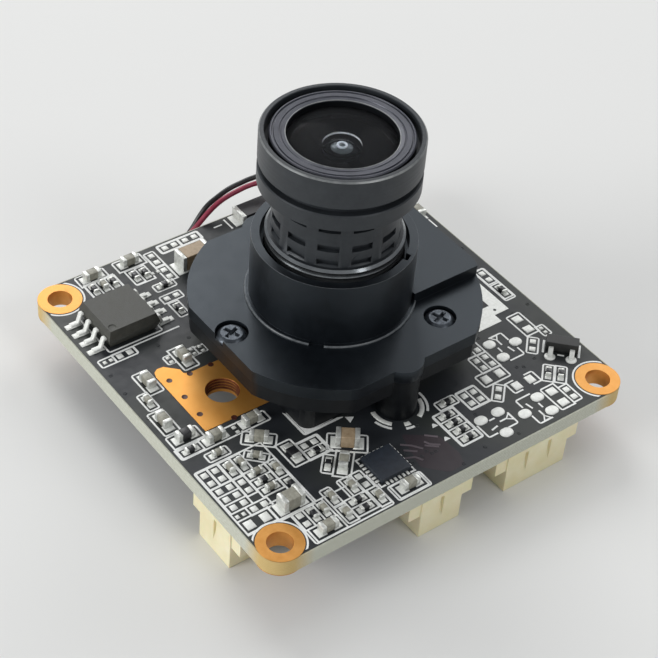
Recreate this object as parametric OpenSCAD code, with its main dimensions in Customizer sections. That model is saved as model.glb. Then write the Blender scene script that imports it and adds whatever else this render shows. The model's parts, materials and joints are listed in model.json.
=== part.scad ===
// Board camera module: a 38 mm square circuit board with an M12 lens in a moulded
// mount, an infrared filter switch under the mount, and wafer sockets on the underside.
// The origin is at the centre of the board's upper face, on the lens axis, +Z up.

/* [Board] */
// Side of the square board
board_w = 38; // [37.8:0.1:42]
// Thickness of the board with both masks
board_t = 1.6; // [1.2:0.1:2]
// Radius of the board's corners
corner_r = 2; // [1:0.1:2.4]
// Distance of a corner hole's centre from the board's edges
hole_inset = 2; // [1.8:0.05:2.1]
// Diameter of the plated corner holes
hole_d = 2.2; // [1.8:0.1:2.8]
// Diameter of the plated ring round a corner hole
eyelet_d = 4; // [3.4:0.1:4.2]
// Thickness of the plating inside a hole
plating_t = 0.08; // [0.05:0.01:0.12]
// Thickness of one solder mask
mask_t = 0.04; // [0.03:0.01:0.08]
// Bare rim between the mask and the edge of the board
mask_margin = 0.12; // [0.05:0.01:0.3]
// Thickness of bare copper and of solder pads
foil_t = 0.04; // [0.02:0.01:0.08]
// Thickness of the printed white lines
silk_t = 0.02; // [0.01:0.01:0.04]
// Width of the printed white lines
silk_w = 0.16; // [0.1:0.02:0.24]
// Diameter of the plated hole in the copper patch
patch_hole_d = 3; // [2:0.1:3.2]

/* [Chips] */
// Height of a chip resistor
resistor_h = 0.35; // [0.25:0.05:0.6]
// Share of a chip's length covered by each metal end
terminal_share = 0.24; // [0.15:0.01:0.3]
// Side of the memory chip's body
flash_w = 5.2; // [4.8:0.1:5.6]
// Height of the memory chip's body
flash_h = 1.75; // [1:0.05:2]
// Spacing of the memory chip's leads
flash_pitch = 1.27; // [1.1:0.01:1.3]
// Side of the square driver chip
driver_w = 3; // [2.6:0.1:3.4]
// Height of the square driver chip
driver_h = 0.45; // [0.35:0.05:0.9]
// Side of the processor on the underside
processor_w = 12; // [10:0.5:13]
// Height of the processor
processor_h = 1.2; // [0.8:0.1:1.6]
// Side of a power inductor
inductor_w = 3; // [2.4:0.1:3.4]
// Height of a power inductor
inductor_h = 1.5; // [1:0.1:2]

/* [Sockets] */
// Height of the wafer sockets, which the module rests on
socket_h = 4.1; // [3.4:0.1:5]
// Depth of the edge sockets, square to the board's edge
socket_depth = 3.6; // [3.4:0.1:4.2]
// Contact spacing in every socket
contact_pitch = 1.25; // [1.2:0.01:1.3]
// Wall of a socket at the board's edge
socket_wall = 0.6; // [0.4:0.05:0.8]
// Length of the low shoulder at each end of an edge socket
shoulder_l = 1.2; // [0.8:0.1:1.4]
// Height of that shoulder
shoulder_h = 1.7; // [1.2:0.1:2.4]
// Thickness of a contact pin
pin_t = 0.4; // [0.3:0.05:0.5]

/* [Lens mount] */
// Side of the mount's square foot
foot_w = 16.6; // [15.6:0.1:17]
// Height of the foot
foot_h = 2.9; // [2.6:0.1:3.4]
// Height of the filter tray on the foot
tray_h = 1.6; // [1.6:0.05:2]
// Thickness of the cover's flange
cover_t = 1.2; // [1:0.05:1.6]
// Radius of the flange on the plain side
flange_r = 12.3; // [12:0.1:12.8]
// Radius of the flange on the motor side
motor_side_r = 13.2; // [13.1:0.1:13.8]
// Distance from the axis to the flat side of the flange
side_flat = 11.4; // [11.3:0.1:12]
// Distance from the axis to the front and rear flats
end_flat = 11.1; // [10.9:0.1:11.6]
// Centre distance of the two screw ears
ear_pitch = 20.2; // [20:0.1:20.6]
// Radius of a screw ear
ear_r = 1.85; // [1.6:0.05:2.2]
// Step between the cover's edge and the tray's edge
tray_inset = 0.15; // [0.05:0.05:0.3]
// Height of the motor hood above the flange
hood_h = 1; // [0.9:0.05:1.6]
// Wall and roof of the motor hood
hood_wall = 0.45; // [0.35:0.05:0.5]
// Outer radius of the threaded barrel of the mount
mount_r = 7.05; // [6.8:0.05:7.3]
// Height of the mount's barrel above the flange
mount_h = 6.3; // [5.5:0.1:6.6]
// Radius of the lens thread in the mount
bore_r = 6; // [5.95:0.01:6.05]
// Radius of the recess at the mouth of the barrel
mouth_r = 6.3; // [6.1:0.05:6.5]
// Depth of the recess at the mouth
mouth_depth = 1.3; // [0.6:0.1:2]

/* [Screws] */
// Radius of a cover screw's head
cover_head_r = 1.3; // [1:0.05:1.4]
// Height of a cover screw's head
cover_head_h = 0.55; // [0.4:0.05:0.65]
// Radius of a cover screw's thread
cover_screw_r = 0.65; // [0.5:0.05:0.8]
// Radius of the head of a screw that holds the mount to the board
holder_head_r = 1.5; // [1.2:0.1:1.8]
// Height of that head
holder_head_h = 0.8; // [0.6:0.1:1.2]
// Radius of that screw's thread
holder_screw_r = 0.7; // [0.6:0.05:0.9]
// Clearance round screws, pins and pockets
fit_gap = 0.05; // [0.03:0.01:0.08]

/* [Filter switch] */
// Width of a filter glass, along X
filter_w = 6.8; // [6.4:0.1:7]
// Length of a filter glass, along Y
filter_l = 6; // [5.6:0.1:6]
// Thickness of a filter glass
filter_t = 0.3; // [0.2:0.05:0.35]
// Travel of the filter frame from one filter to the other
filter_pitch = 6.2; // [6.1:0.05:6.3]
// Rim of the frame round a filter
frame_rim = 0.4; // [0.3:0.05:0.5]
// Thickness of the filter frame
frame_t = 0.5; // [0.45:0.05:0.55]
// Free space round the moving frame
frame_gap = 0.2; // [0.15:0.05:0.3]
// Thickness of the tray's floor
floor_t = 0.4; // [0.3:0.05:0.5]
// Free space between the barrel of the mount and the motor's yoke
motor_gap = 0.35; // [0.3:0.01:0.4]
// Thickness of the rotor's arm
arm_t = 0.45; // [0.35:0.05:0.5]
// Radius of the rotor's shaft
shaft_r = 0.3; // [0.2:0.05:0.35]
// Air gap between the magnet and the yoke
air_gap = 0.2; // [0.15:0.05:0.25]
// Thickness of the yoke's sheet steel, in plan
yoke_w = 0.65; // [0.5:0.05:0.65]
// Height of the yoke
yoke_h = 1; // [0.8:0.1:1.2]
// Radius of the motor's winding
coil_r = 1.05; // [0.9:0.05:1.1]
// Radius of a filter lead, over its insulation
lead_r = 0.25; // [0.25:0.05:0.3]

/* [Lens] */
// Radius of the lens head
head_r = 6.8; // [6.5:0.05:7]
// Height of the upper band of the head
head_h = 2.6; // [2.4:0.05:3.2]
// Height of the groove under the upper band
groove_h = 0.75; // [0.4:0.05:1]
// Radius at the bottom of that groove
groove_r = 6.15; // [6:0.05:6.3]
// Radius of the lower band of the head
band_r = 6.8; // [6.35:0.05:7]
// Height of the lower band
band_h = 1.45; // [0.6:0.05:1.6]
// Height of the slope under the lower band
slope_h = 0.3; // [0.2:0.1:0.8]
// Radius of the lens neck
neck_r = 5.45; // [5.3:0.05:5.5]
// Height of the neck
neck_h = 4.65; // [4.6:0.05:5.4]
// Length of the lens thread
thread_l = 6.8; // [6:0.1:7]
// Pitch of the lens thread
thread_pitch = 0.5; // [0.35:0.05:0.75]
// Depth of the lens thread
thread_depth = 0.22; // [0.15:0.01:0.25]
// Number of pockets round the neck
pocket_count = 12; // [8:1:14]
// Width of a neck pocket
pocket_w = 1.8; // [1.2:0.05:2]
// Height of a neck pocket
pocket_h = 0.65; // [0.5:0.05:0.8]
// Depth of a neck pocket
pocket_depth = 0.45; // [0.3:0.05:0.5]
// Radius of the bore that holds the inner lens elements
optic_r = 4.25; // [4:0.05:4.3]
// Radius of the front glass
front_r = 5; // [4.9:0.05:5.1]
// Radius of the clear opening in the retaining ring
window_r = 4.6; // [4.4:0.05:4.8]
// Radius of the iris
iris_r = 1.6; // [1:0.1:2]

/* [Hidden] */
$fn = 48;

// Places on the board are given for a board of this width. On another one they keep to
// the mount, or to the edges, and what lies between spreads evenly
plan_w = 38;
plan_keep = 8.6;
plan_stretch = (board_w / 2 - plan_keep) / (plan_w / 2 - plan_keep);
hole_pitch = board_w - 2 * hole_inset;
edge = board_w / 2;
function spread(v) =
    abs(v) < plan_keep ? v : sign(v) * (plan_keep + (abs(v) - plan_keep) * plan_stretch);
function spread_all(values) = [for (v = values) spread(v)];

// Heights of the board and of the mount on it
under_z = -board_t;
rest_z = under_z - socket_h;
tray_z = foot_h;
cover_z = tray_z + tray_h;
flange_z = cover_z + cover_t;
rim_z = flange_z + mount_h;
hood_z = flange_z + hood_h;
cut = 1;

// Flange screws: place of each, on the cover
cover_screw_places = [[-10.1, 0.15], [5.9, -7.8]];
cover_seat_gap = 0.12;
screw_bite = 1.2;
holder_reach = 2;

// Mount: foot chamber, light window and hood
chamber_w = 12.6;
foot_roof = 0.4;
window_x = 6;
window_y = 5.2;
hood_edge_x = 5.1;
hood_front = 5.2;
hood_back = 8.6;
motor_bay_x = mount_r + 0.35;
base_ring_r = mount_r + 0.4;
base_ring_h = 0.25;
ring_gap_angle = -135.5;
glue_notch_angle = -60;

// Filter switch: everything is placed from the rotor and the frame's rest place
floor_z = tray_z + floor_t;
frame_z = floor_z + fit_gap;
frame_half = filter_w / 2 + frame_rim;
frame_front = -filter_l / 2 - frame_rim;
frame_back = filter_pitch + filter_l / 2 + frame_rim;
drive_x = frame_half + 0.9;
motor_room = motor_side_r - hood_wall - 0.05 - motor_bay_x;
magnet_r = motor_room / 2 - 0.5 - air_gap - yoke_w;
rotor_x = motor_bay_x + motor_gap + yoke_w + air_gap + magnet_r;
flat_wall = 0.35;
motor_flat = rotor_x + magnet_r + air_gap + yoke_w + fit_gap + flat_wall;
arm_l = rotor_x - drive_x;
half_swing = asin(filter_pitch / 2 / arm_l);
drive_pin_r = 0.3;
slot_gap = 0.15;
slot_near = rotor_x - arm_l - drive_pin_r - slot_gap;
slot_far = rotor_x - arm_l * cos(half_swing) + drive_pin_r + slot_gap;
ear_rim = 0.4;
arm_z = frame_z + frame_t + fit_gap;
magnet_z = arm_z + arm_t;
magnet_h = 1.6;
yoke_z = cover_z + 0.1;
yoke_inner = magnet_r + air_gap;
yoke_front = -1.2;
yoke_back = yoke_inner + 1.9;
coil_y = yoke_back - yoke_w / 2;

// Lens: heights, from its rear end upwards
lens_z = flange_z + 0.3;
neck_z = lens_z + thread_l;
slope_z = neck_z + neck_h;
band_z = slope_z + slope_h;
groove_z = band_z + band_h;
head_z = groove_z + groove_h;
lens_top = head_z + head_h;
thread_r = bore_r - 0.07;
pocket_rows = [neck_z + 0.1, neck_z + 1.6, neck_z + 3.55];
pocket_turn = 16;
ring_seat = lens_top - 1.25;
glass_seat = ring_seat - 0.9;
ring_r = 5.95;
ring_skirt_r = 5.5;
rim_inner_r = 6.32;
rear_ring_h = 1;
rear_z = lens_z + 0.2 + rear_ring_h;
rear_glass_h = 2.2;
rear_spacer_h = 3.2;
third_glass_h = 1.6;
iris_t = 0.3;
dome_curve = 15;
dome_edge_z = ring_seat + 0.2;
bowl_r = 1.55;
bowl_curve = 1.9;
second_glass_h = 1.8;
third_z = rear_z + rear_glass_h + rear_spacer_h;
iris_z = third_z + third_glass_h;
second_z = iris_z + iris_t;
baffle_z = second_z + second_glass_h;

// Chip sizes: length, width, height, pad length, pad width, pad centre, frame length, frame width
longest_end = 0.42;
TINY = [0.6, 0.3, 0.3, 0.32, 0.36, 0.3, 0, 0];
SMALL = [1.0, 0.5, 0.5, 0.56, 0.56, 0.5, 2.1, 1.0];
MEDIUM = [1.6, 0.8, 0.8, 0.8, 0.9, 0.76, 2.9, 1.5];
PLAIN = [1.6, 0.8, 0.8, 0.8, 0.9, 0.76, 0, 0];
LARGE = [2.0, 1.25, 1.25, 0.9, 1.35, 0.95, 3.4, 2.0];
TALL = [3.2, 1.6, 1.65, 1.1, 1.75, 1.5, 0, 0];
LONG = [4, 1.9, 0.95, 0.9, 1.6, 2.2, 0, 0];

// Chips on the upper face: x, y, turn, size, kind. R resistor, C capacitor, B bulk
// capacitor, F ferrite bead, U an empty place with its pads only
top_chips = [
    // Front-left corner group
    [-18.05, -8.4, 90, SMALL, "U"], [-17.0, -8.4, 90, SMALL, "U"], [-15.9, -8.4, 90, SMALL, "C"],
    [-14.8, -8.4, 90, SMALL, "C"], [-17.5, -10, 0, SMALL, "U"], [-17.5, -11, 0, SMALL, "U"],
    [-17.5, -12, 0, SMALL, "U"], [-15.9, -10.6, 90, SMALL, "U"], [-14.3, -9.9, 0, SMALL, "C"],
    [-14.3, -10.9, 0, SMALL, "R"], [-14.3, -11.9, 0, SMALL, "C"], [-12.7, -10.4, 90, SMALL, "C"],
    [-12.7, -12.5, 90, SMALL, "R"], [-18, -13, 0, TINY, "U"], [-16.2, -13, 0, SMALL, "U"],
    [-17.2, -14.2, 0, MEDIUM, "U"], [-14, -14.2, 0, LARGE, "C"],
    // Row along the front edge
    [-14.1, -16.1, 90, SMALL, "U"], [-13.1, -16.1, 90, SMALL, "R"], [-12.1, -16.1, 90, SMALL, "C"],
    [-13, -17.9, 0, MEDIUM, "C"], [-10.8, -15.4, 90, SMALL, "C"], [-10.8, -17.4, 90, SMALL, "C"],
    [-9.2, -16.8, 0, SMALL, "R"], [-9.2, -17.8, 0, SMALL, "R"], [-8.7, -15.3, 90, SMALL, "C"],
    [-7.6, -15.3, 90, SMALL, "U"], [-7.5, -17.4, 90, SMALL, "C"], [-4.7, -17.85, 0, MEDIUM, "C"],
    // Slanted chips between the mount and the front-left corner
    [-12, -6.9, -40, MEDIUM, "C"], [-13.3, -8.4, -45, SMALL, "C"], [-10.6, -9.7, 90, MEDIUM, "R"],
    [-8.8, -9.6, 0, SMALL, "U"], [-8.8, -10.6, 0, SMALL, "R"], [-6.1, -11.25, -38, LARGE, "B"],
    [-8.85, -12.3, 47, SMALL, "R"], [-7.8, -13, 47, MEDIUM, "C"],
    // Front middle and front-right
    [3.9, -12.1, 0, SMALL, "R"], [5.7, -12.8, 90, SMALL, "U"], [6.7, -12.8, 90, SMALL, "U"],
    [2.9, -13.3, 0, SMALL, "R"], [2.9, -14.3, 0, SMALL, "R"], [2.9, -15.3, 0, SMALL, "R"],
    [2.9, -16.3, 0, SMALL, "R"], [10.4, -10, 90, SMALL, "U"], [9.4, -10, 90, SMALL, "U"],
    [9.4, -11.75, 0, MEDIUM, "U"], [8.45, -13.6, 45, SMALL, "U"], [12.5, -16.75, 90, MEDIUM, "U"],
    [13.75, -17, 90, SMALL, "U"], [13.8, -14.1, 45, SMALL, "R"], [14.6, -14.85, 45, SMALL, "R"],
    [15, -10.65, 45, SMALL, "U"], [16.1, -8.05, 90, MEDIUM, "U"], [17.15, -9.65, 90, TINY, "U"],
    [11.15, -13.8, 0, PLAIN, "U"], [10.4, -7.95, 90, SMALL, "U"],
    [17.5, -1.2, 90, SMALL, "U"], [17.5, -3.5, 90, SMALL, "R"],
    // Left edge
    [-16.15, 3.7, 90, MEDIUM, "C"], [-17.35, 1.75, 90, SMALL, "C"], [-17.55, -1, 90, MEDIUM, "C"],
    [-17, -3.4, 0, MEDIUM, "F"], [-14.95, -4.85, 0, PLAIN, "C"], [-13, -4.95, 90, TINY, "U"],
    [-11.35, -4.85, 0, PLAIN, "C"], [-15.8, -6.45, 0, SMALL, "C"], [-15.9, 7.8, 0, SMALL, "U"],
    [-17.4, -4.9, 0, SMALL, "R"], [-17.6, 7.8, 0, TINY, "U"],
    [-11.9, 4.7, 90, MEDIUM, "C"], [-13.05, 5.1, 90, TINY, "U"], [-10.8, 4.9, 90, TINY, "U"],
    [-9.95, 4.85, 90, TINY, "U"],
    // Left corner and rear edge
    [-13.1, 18, 0, MEDIUM, "C"], [-9.2, 17.95, 0, MEDIUM, "C"], [-13.8, 16.4, 90, SMALL, "R"],
    [-12.8, 16.4, 90, SMALL, "C"], [-11.8, 16.4, 90, SMALL, "R"], [-9.75, 16.05, 90, SMALL, "R"],
    [-8.75, 15.95, 90, SMALL, "R"], [-7, 17.2, 90, SMALL, "U"], [-4.2, 14.9, 0, TALL, "B"],
    [-4.8, 18, 0, SMALL, "U"], [-2.6, 18, 0, SMALL, "U"], [-8.15, 13.6, 0, SMALL, "R"],
    [-8.45, 11.95, 0, SMALL, "U"], [-8.75, 10.25, 90, SMALL, "R"],
    [-7.05, 14.95, 90, SMALL, "U"], [-7.9, 15.55, 0, TINY, "U"], [4.75, 17.9, 0, LONG, "F"],
    // Right corner, behind the mount
    [16.2, 3, 90, SMALL, "C"], [17.4, 5, 90, SMALL, "R"], [14.8, 9, 0, MEDIUM, "C"],
    [18, 9.55, 90, PLAIN, "C"], [14.6, 11.6, 0, SMALL, "R"], [14.6, 12.6, 0, SMALL, "R"],
    [11, 14.8, 0, MEDIUM, "C"], [12, 17, 0, SMALL, "C"],
];

// Chips on the underside, with the same columns
under_chips = [
    [-9.6, -3, 90, SMALL, "C"], [-8.6, -3, 90, SMALL, "C"], [-9.6, -5.4, 90, SMALL, "R"],
    [-8.6, -5.4, 90, SMALL, "R"], [-7.2, 1, 90, SMALL, "C"], [-7.2, 3, 90, SMALL, "C"],
    [-2, 8.4, 0, SMALL, "C"], [4, 8.4, 0, SMALL, "C"], [-2, -8.4, 0, SMALL, "R"],
    [5, -8.4, 0, SMALL, "C"], [11, 1.5, 90, SMALL, "C"], [11, -1, 90, SMALL, "R"],
    [12.6, -1, 90, SMALL, "R"], [8.8, 12.4, 90, MEDIUM, "C"], [16.4, 8.6, 90, MEDIUM, "C"],
    [-12, 8, 0, MEDIUM, "C"], [-12, 10, 0, SMALL, "R"], [-12, 11.2, 0, SMALL, "R"],
    [4.5, -12, 0, SMALL, "R"], [4.5, -13.2, 0, SMALL, "R"], [10.6, -12, 0, SMALL, "C"],
];

driver_pitch = 0.42;

// Empty places for dual diodes: x, y, turn. Each has three round pads
diode_places = [[12.9, -9.45, 90], [5.95, -16.5, 0], [9.82, -16.78, -90]];
diode_pads = [[-0.95, 1.15], [0.95, 1.15], [0, -1.1]];
diode_pad_l = 1.25;
diode_pad_w = 1;

// Printed boxes on the upper face: low x, low y, high x, high y
silk_boxes = [
    [-18.65, -15.05, -12.1, -7.25], [-14.7, -18.7, -6.95, -15.05], [-6.4, -18.7, -3.05, -17.05],
    [-9.8, -11.2, -7.6, -9], [1.75, -16.85, 4.05, -12.75], [8.9, -11, 9.9, -8.9],
    [9.9, -11, 10.9, -8.95], [9.9, -8.95, 10.9, -7], [5.15, -13.95, 7.25, -11.65],
    [16.75, -10.35, 17.6, -9], [16.9, -4.8, 18.1, -0.1], [-18.6, -5.5, -9.8, -4.3],
    [-18.4, 7.3, -17, 8.25], [-17, 7.3, -14.8, 8.25], [-13.45, 4.6, -12.65, 5.65],
    [-11.15, 4.4, -10.45, 5.4], [-10.45, 4.4, -9.5, 5.3], [-14.35, 15.2, -11.25, 17.3],
    [-10.25, 14.9, -8.25, 17.1], [-7.55, 13.9, -6.5, 16.15], [-7.55, 16.15, -6.5, 18.25],
    [-5.95, 17.4, -1.45, 18.6], [-9.5, -16.35, -8.1, -14.25],
];

// Single printed bars: centre x, centre y, width, length
silk_bars = [[1.65, 17.85, 0.16, 1.55], [0.65, 18.1, 0.9, 0.16], [18.3, 7.6, 0.2, 1.3]];

// Places of the larger parts: memory chip, driver chip, transistor
flash_place = spread_all([-14.2, 11.43]);
driver_place = spread_all([-5, -15]);
transistor_place = spread_all([16.87, -12.4]);
transistor_turn = -46;
processor_place = [1.8, 0];
crystal_place = spread_all([-7.8, 6.4]);
crystal_size = [3.2, 2.5, 0.7];
inductor_places = [spread_all([12.6, 8.6]), spread_all([12.6, 12.6])];

// Copper patch beside the mount, and the hole in it
patch_hole_place = spread_all([-11.3, -0.45]);
patch_vias = [[-14.45, 3], [-14.45, 0.6], [-14.45, -1.85]];
via_r = 0.22;

// Edge sockets: centre along the edge, and number of contacts
small_contacts = 3;
large_contacts = 5;
front_small_x = -1.85;
front_large_x = spread(8.75);
side_small_y = spread(-10.9);
contact_end = 1.9;
socket_floor = 0.9;
pin_reach = 3.3;
tail_l = 0.7;
side_slot_pitch = 2.6;

// Filter socket: its mouth faces the rear edge of the board
filter_contacts = 2;
filter_socket_x = -3;
filter_socket_front = spread(12.6);
filter_socket_l = 4.4;
plug_tail = 0.8;
plug_z = under_z - socket_h / 2;
plug_back = filter_socket_front + filter_socket_l + plug_tail;

// Routes of the two leads, from the winding, round the board's edge, to the plug
red_x = rotor_x - 0.6;
black_x = rotor_x + 0.2;
lead_z = 3.75;
red_side = edge + 0.4;
black_side = edge + 1.1;
red_end = filter_socket_x - contact_pitch / 2;
black_end = filter_socket_x + contact_pitch / 2;
red_route = [
    [red_x, 4.4, lead_z], [red_x, 6, lead_z], [red_x, 7.8, 3.7], [red_x, 9.4, 3.65],
    [9.2, 11.2, 3.5], [9.1, 13, 3.3], [8.8, 14.8, 3], [8.2, red_side - 2.8, 2.75],
    [7.3, red_side - 1.3, 2.5], [6.2, red_side - 0.3, 2.3], [5, red_side, 2.2],
    [3.7, red_side, 2.1], [2.5, red_side, 1.9], [1.4, red_side, 1.5], [0.4, red_side, 0.85],
    [-0.5, red_side, 0], [-1.3, red_side, -1], [-2.2, red_side, -2],
    [-2.9, red_side - 0.1, plug_z + 0.85], [-3.4, red_side - 0.4, plug_z + 0.3],
    [red_end, plug_back + 0.6, plug_z], [red_end, plug_back, plug_z],
];
black_route = [
    [black_x, 4.4, lead_z], [black_x, 6, lead_z], [black_x, 7.8, 3.7], [black_x, 9.6, 3.65],
    [10, 11.6, 3.55], [9.9, 13.6, 3.4], [9.7, 15.5, 3.2], [9.2, black_side - 2.8, 2.95],
    [8.3, black_side - 1.2, 2.6], [7.1, black_side - 0.3, 2.4], [5.8, black_side, 2.3],
    [4.5, black_side, 2.25], [3.2, black_side, 2.1], [1.9, black_side, 1.65],
    [0.8, black_side, 1.1], [0, black_side, 0.3], [-0.8, black_side, -0.8],
    [-1.5, black_side + 0.1, plug_z + 1.75], [-2.1, black_side - 0.2, plug_z + 0.75],
    [-2.35, black_side - 0.9, plug_z + 0.15], [black_end, plug_back + 0.7, plug_z],
    [black_end, plug_back, plug_z],
];

// ---- Shared shapes ----

// Flat rounded rectangle, centred
module rounded_rect(w, l, r) {
    square([w - 2 * r, l], center = true);
    square([w, l - 2 * r], center = true);
    for (x = [-1, 1], y = [-1, 1])
        translate([x * (w / 2 - r), y * (l / 2 - r)]) circle(r);
}

// Flat ring between two radii
module ring(outer, inner) {
    difference() {
        circle(outer);
        circle(inner);
    }
}

// Flat sector from one angle to another, out to radius r
module sector(r, from, to) {
    steps = 6;
    step = (to - from) / steps;
    polygon(concat([[0, 0]], [for (i = [0:steps]) r * [cos(from + i * step), sin(from + i * step)]]));
}

// Copies its children to both sides of the board: the second one hangs from the underside
module on_underside() {
    translate([0, 0, under_z]) mirror([0, 0, 1]) children();
}

// Pan head with a cross recess, its seat at z = 0, head upwards, thread downwards
module pan_screw(head_r, head_h, thread_r, thread_l) {
    edge = head_h * 0.45;
    recess = head_h * 0.6;
    difference() {
        rotate_extrude() polygon([
            [0, -thread_l], [thread_r - 0.15, -thread_l], [thread_r, -thread_l + 0.15], [thread_r, 0],
            [head_r, 0], [head_r, edge], [head_r * 0.72, head_h], [0, head_h],
        ]);
        for (a = [0, 90])
            rotate(a + 20) translate([0, 0, head_h])
                cube([head_r * 1.15, head_r * 0.28, recess * 2], center = true);
    }
}

// ---- Circuit board ----

// Board outline, drawn in by inset
module board_outline(inset = 0) {
    rounded_rect(board_w - 2 * inset, board_w - 2 * inset, corner_r - inset);
}

// Every drilled hole: corner holes, ear screws and the hole of the copper patch
module board_holes(grow = 0) {
    for (x = [-1, 1], y = [-1, 1]) translate([x, y] * hole_pitch / 2) circle(hole_d / 2 + grow);
    for (s = [-1, 1])
        translate([0, s * ear_pitch / 2]) circle(holder_screw_r + 0.2);
    translate(patch_hole_place) circle(patch_hole_d / 2 + grow);
}

module circuit_board() {
    color("#b9b48f")
        translate([0, 0, under_z + mask_t]) linear_extrude(board_t - 2 * mask_t)
            difference() {
                board_outline();
                board_holes(plating_t);
            }
}

module mask_layer() {
    linear_extrude(mask_t)
        difference() {
            board_outline(mask_margin);
            board_holes(plating_t);
        }
}

module solder_mask() {
    color("#23262b") {
        translate([0, 0, -mask_t]) mask_layer();
        on_underside() translate([0, 0, -mask_t]) mask_layer();
    }
}

// Plated through hole with a ring on each face
module eyelet() {
    bore = hole_d / 2;
    wall = bore + plating_t;
    rim = eyelet_d / 2;
    low = under_z - foil_t;
    rotate_extrude() polygon([
        [bore, low], [rim, low], [rim, under_z], [wall, under_z], [wall, 0], [rim, 0],
        [rim, foil_t], [bore, foil_t],
    ]);
}

module corner_eyelets() {
    color("#e0a552")
        for (x = [-1, 1], y = [-1, 1])
            translate([x, y, 0] * hole_pitch / 2) eyelet();
}

// Bare copper beside the mount: a block with one rounded lobe
module copper_outline() {
    near = -foot_w / 2 - 0.3;
    lobe = [
        [-15.2, -3.75], [-15.2, 3.9], [-15, 4.45], [-14.6, 4.7], [-14, 4.65], [-12.95, 3.6],
        [-12.95, 3.1], [-12.6, 2.85],
    ];
    polygon([each [for (p = lobe) spread_all(p)], [near, 2.85], [near, -3.75]]);
}

module copper_patch() {
    color("#dd8f3a") {
        linear_extrude(foil_t)
            difference() {
                copper_outline();
                translate(patch_hole_place) circle(patch_hole_d / 2);
                for (p = patch_vias) translate(spread_all(p)) circle(via_r);
                translate(spread_all([-11.9, 4.8])) square([1.6, 3.3], center = true);
            }
        translate([each patch_hole_place, under_z])
            linear_extrude(board_t) ring(patch_hole_d / 2 + plating_t, patch_hole_d / 2);
    }
}

// Tinned ground patch on the motor side, with a step at its front corner
module tinned_outline() {
    near = foot_w / 2 + 0.3;
    far = spread(16.4);
    step_x = far - 1.65;
    low = -6.7;
    top = -1.25;
    difference() {
        polygon([
            [near, low], [step_x, low], [step_x, low + 0.95], [far, low + 0.95], [far, top], [near, top],
        ]);
        translate([far - 1.8, -3.95]) square([1, 1.1], center = true);
        translate([far - 1.2, -5.2]) circle(0.15);
    }
}

module tinned_patch() {
    color("#dfe0d6") linear_extrude(foil_t) tinned_outline();
}

// ---- Chips ----

// Puts its children at each chip of a list whose kind is one of kinds
module at_chips(list, kinds) {
    for (c = list)
        if (len(search(c[4], kinds)) > 0)
            translate([spread(c[0]), spread(c[1]), 0]) rotate(c[2]) {
                $chip = c;
                children();
            }
}

// The same, on both faces of the board
module at_all_chips(kinds) {
    at_chips(top_chips, kinds) children();
    on_underside() at_chips(under_chips, kinds) children();
}

function end_length() = min($chip[3][0] * terminal_share, longest_end);
function chip_h() = $chip[4] == "R" ? resistor_h : $chip[3][2];

// Ceramic body of the chip, between its metal ends
module chip_body(side_inset = 0.02) {
    size = $chip[3];
    length = size[0] - 2 * end_length();
    width = size[1] - 2 * side_inset;
    translate([-length / 2, -width / 2, foil_t]) cube([length, width, chip_h() - side_inset]);
}

// The two metal ends of the chip
module chip_ends() {
    size = $chip[3];
    length = end_length();
    for (s = [0, 180])
        rotate(s)
            translate([size[0] / 2 - length, -size[1] / 2, foil_t]) cube([length, size[1], chip_h()]);
}

// The two pads of the chip, grown on every side
module chip_pads(grow = 0) {
    size = $chip[3];
    for (s = [-1, 1])
        translate([s * size[5], 0])
            square([size[3] + 2 * grow, size[4] + 2 * grow], center = true);
}

module resistors() {
    color("#2c2d2f") at_all_chips("R") chip_body();
}

module capacitors() {
    color("#8d8b80") at_all_chips("C") chip_body();
}

module bulk_capacitors() {
    color("#b39c77") at_all_chips("B") chip_body();
}

module ferrite_beads() {
    color("#1d1f22") at_all_chips("F") chip_body();
}

module chip_terminals() {
    color("#c9cac4") at_all_chips("RCBF") chip_ends();
}

// Pads of the memory chip, the driver chip, the transistor and the empty diode places
module flash_pads(grow = 0) {
    for (s = [-1, 1], i = [-1.5:1.5])
        translate(flash_place + [s * (flash_w / 2 + 1), i * flash_pitch])
            square([1.5 + 2 * grow, 0.6 + 2 * grow], center = true);
}

module driver_pads(grow = 0) {
    for (a = [0:90:270], i = [-2.5:2.5])
        translate(driver_place) rotate(a) translate([driver_w / 2 + 0.1, i * driver_pitch])
            square([0.5 + 2 * grow, 0.22 + 2 * grow], center = true);
}

module transistor_pads(grow = 0) {
    translate(transistor_place) rotate(transistor_turn)
        for (p = [[-0.95, -1.25], [0.95, -1.25], [0, 1.2]])
            translate(p) circle(0.5 + grow);
}

module oval_pads(grow = 0) {
    for (d = diode_places, p = diode_pads)
        translate([spread(d[0]), spread(d[1])]) rotate(d[2]) translate(p) rotate(-d[2])
            rounded_rect(diode_pad_l + 2 * grow, diode_pad_w + 2 * grow, diode_pad_w / 2 + grow - 0.01);
}

// Broken pad ring round the front screw ear
module ear_pad_arcs(grow = 0) {
    translate([0, -ear_pitch / 2])
        intersection() {
            ring(ear_r + 0.55 + grow, ear_r + 0.12 - min(grow, 0.02));
            union() {
                sector(4, 165, 222);
                sector(4, 250, 264);
                sector(4, -66, -8);
            }
        }
}

module special_pads(grow = 0) {
    flash_pads(grow);
    driver_pads(grow);
    transistor_pads(grow);
    oval_pads(grow);
    ear_pad_arcs(grow);
}

module solder_pads() {
    color("#d9dad2") {
        linear_extrude(foil_t) {
            at_chips(top_chips, "RCBFU") chip_pads();
            special_pads();
        }
        on_underside() linear_extrude(foil_t) at_chips(under_chips, "RCBFU") chip_pads();
    }
}

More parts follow.
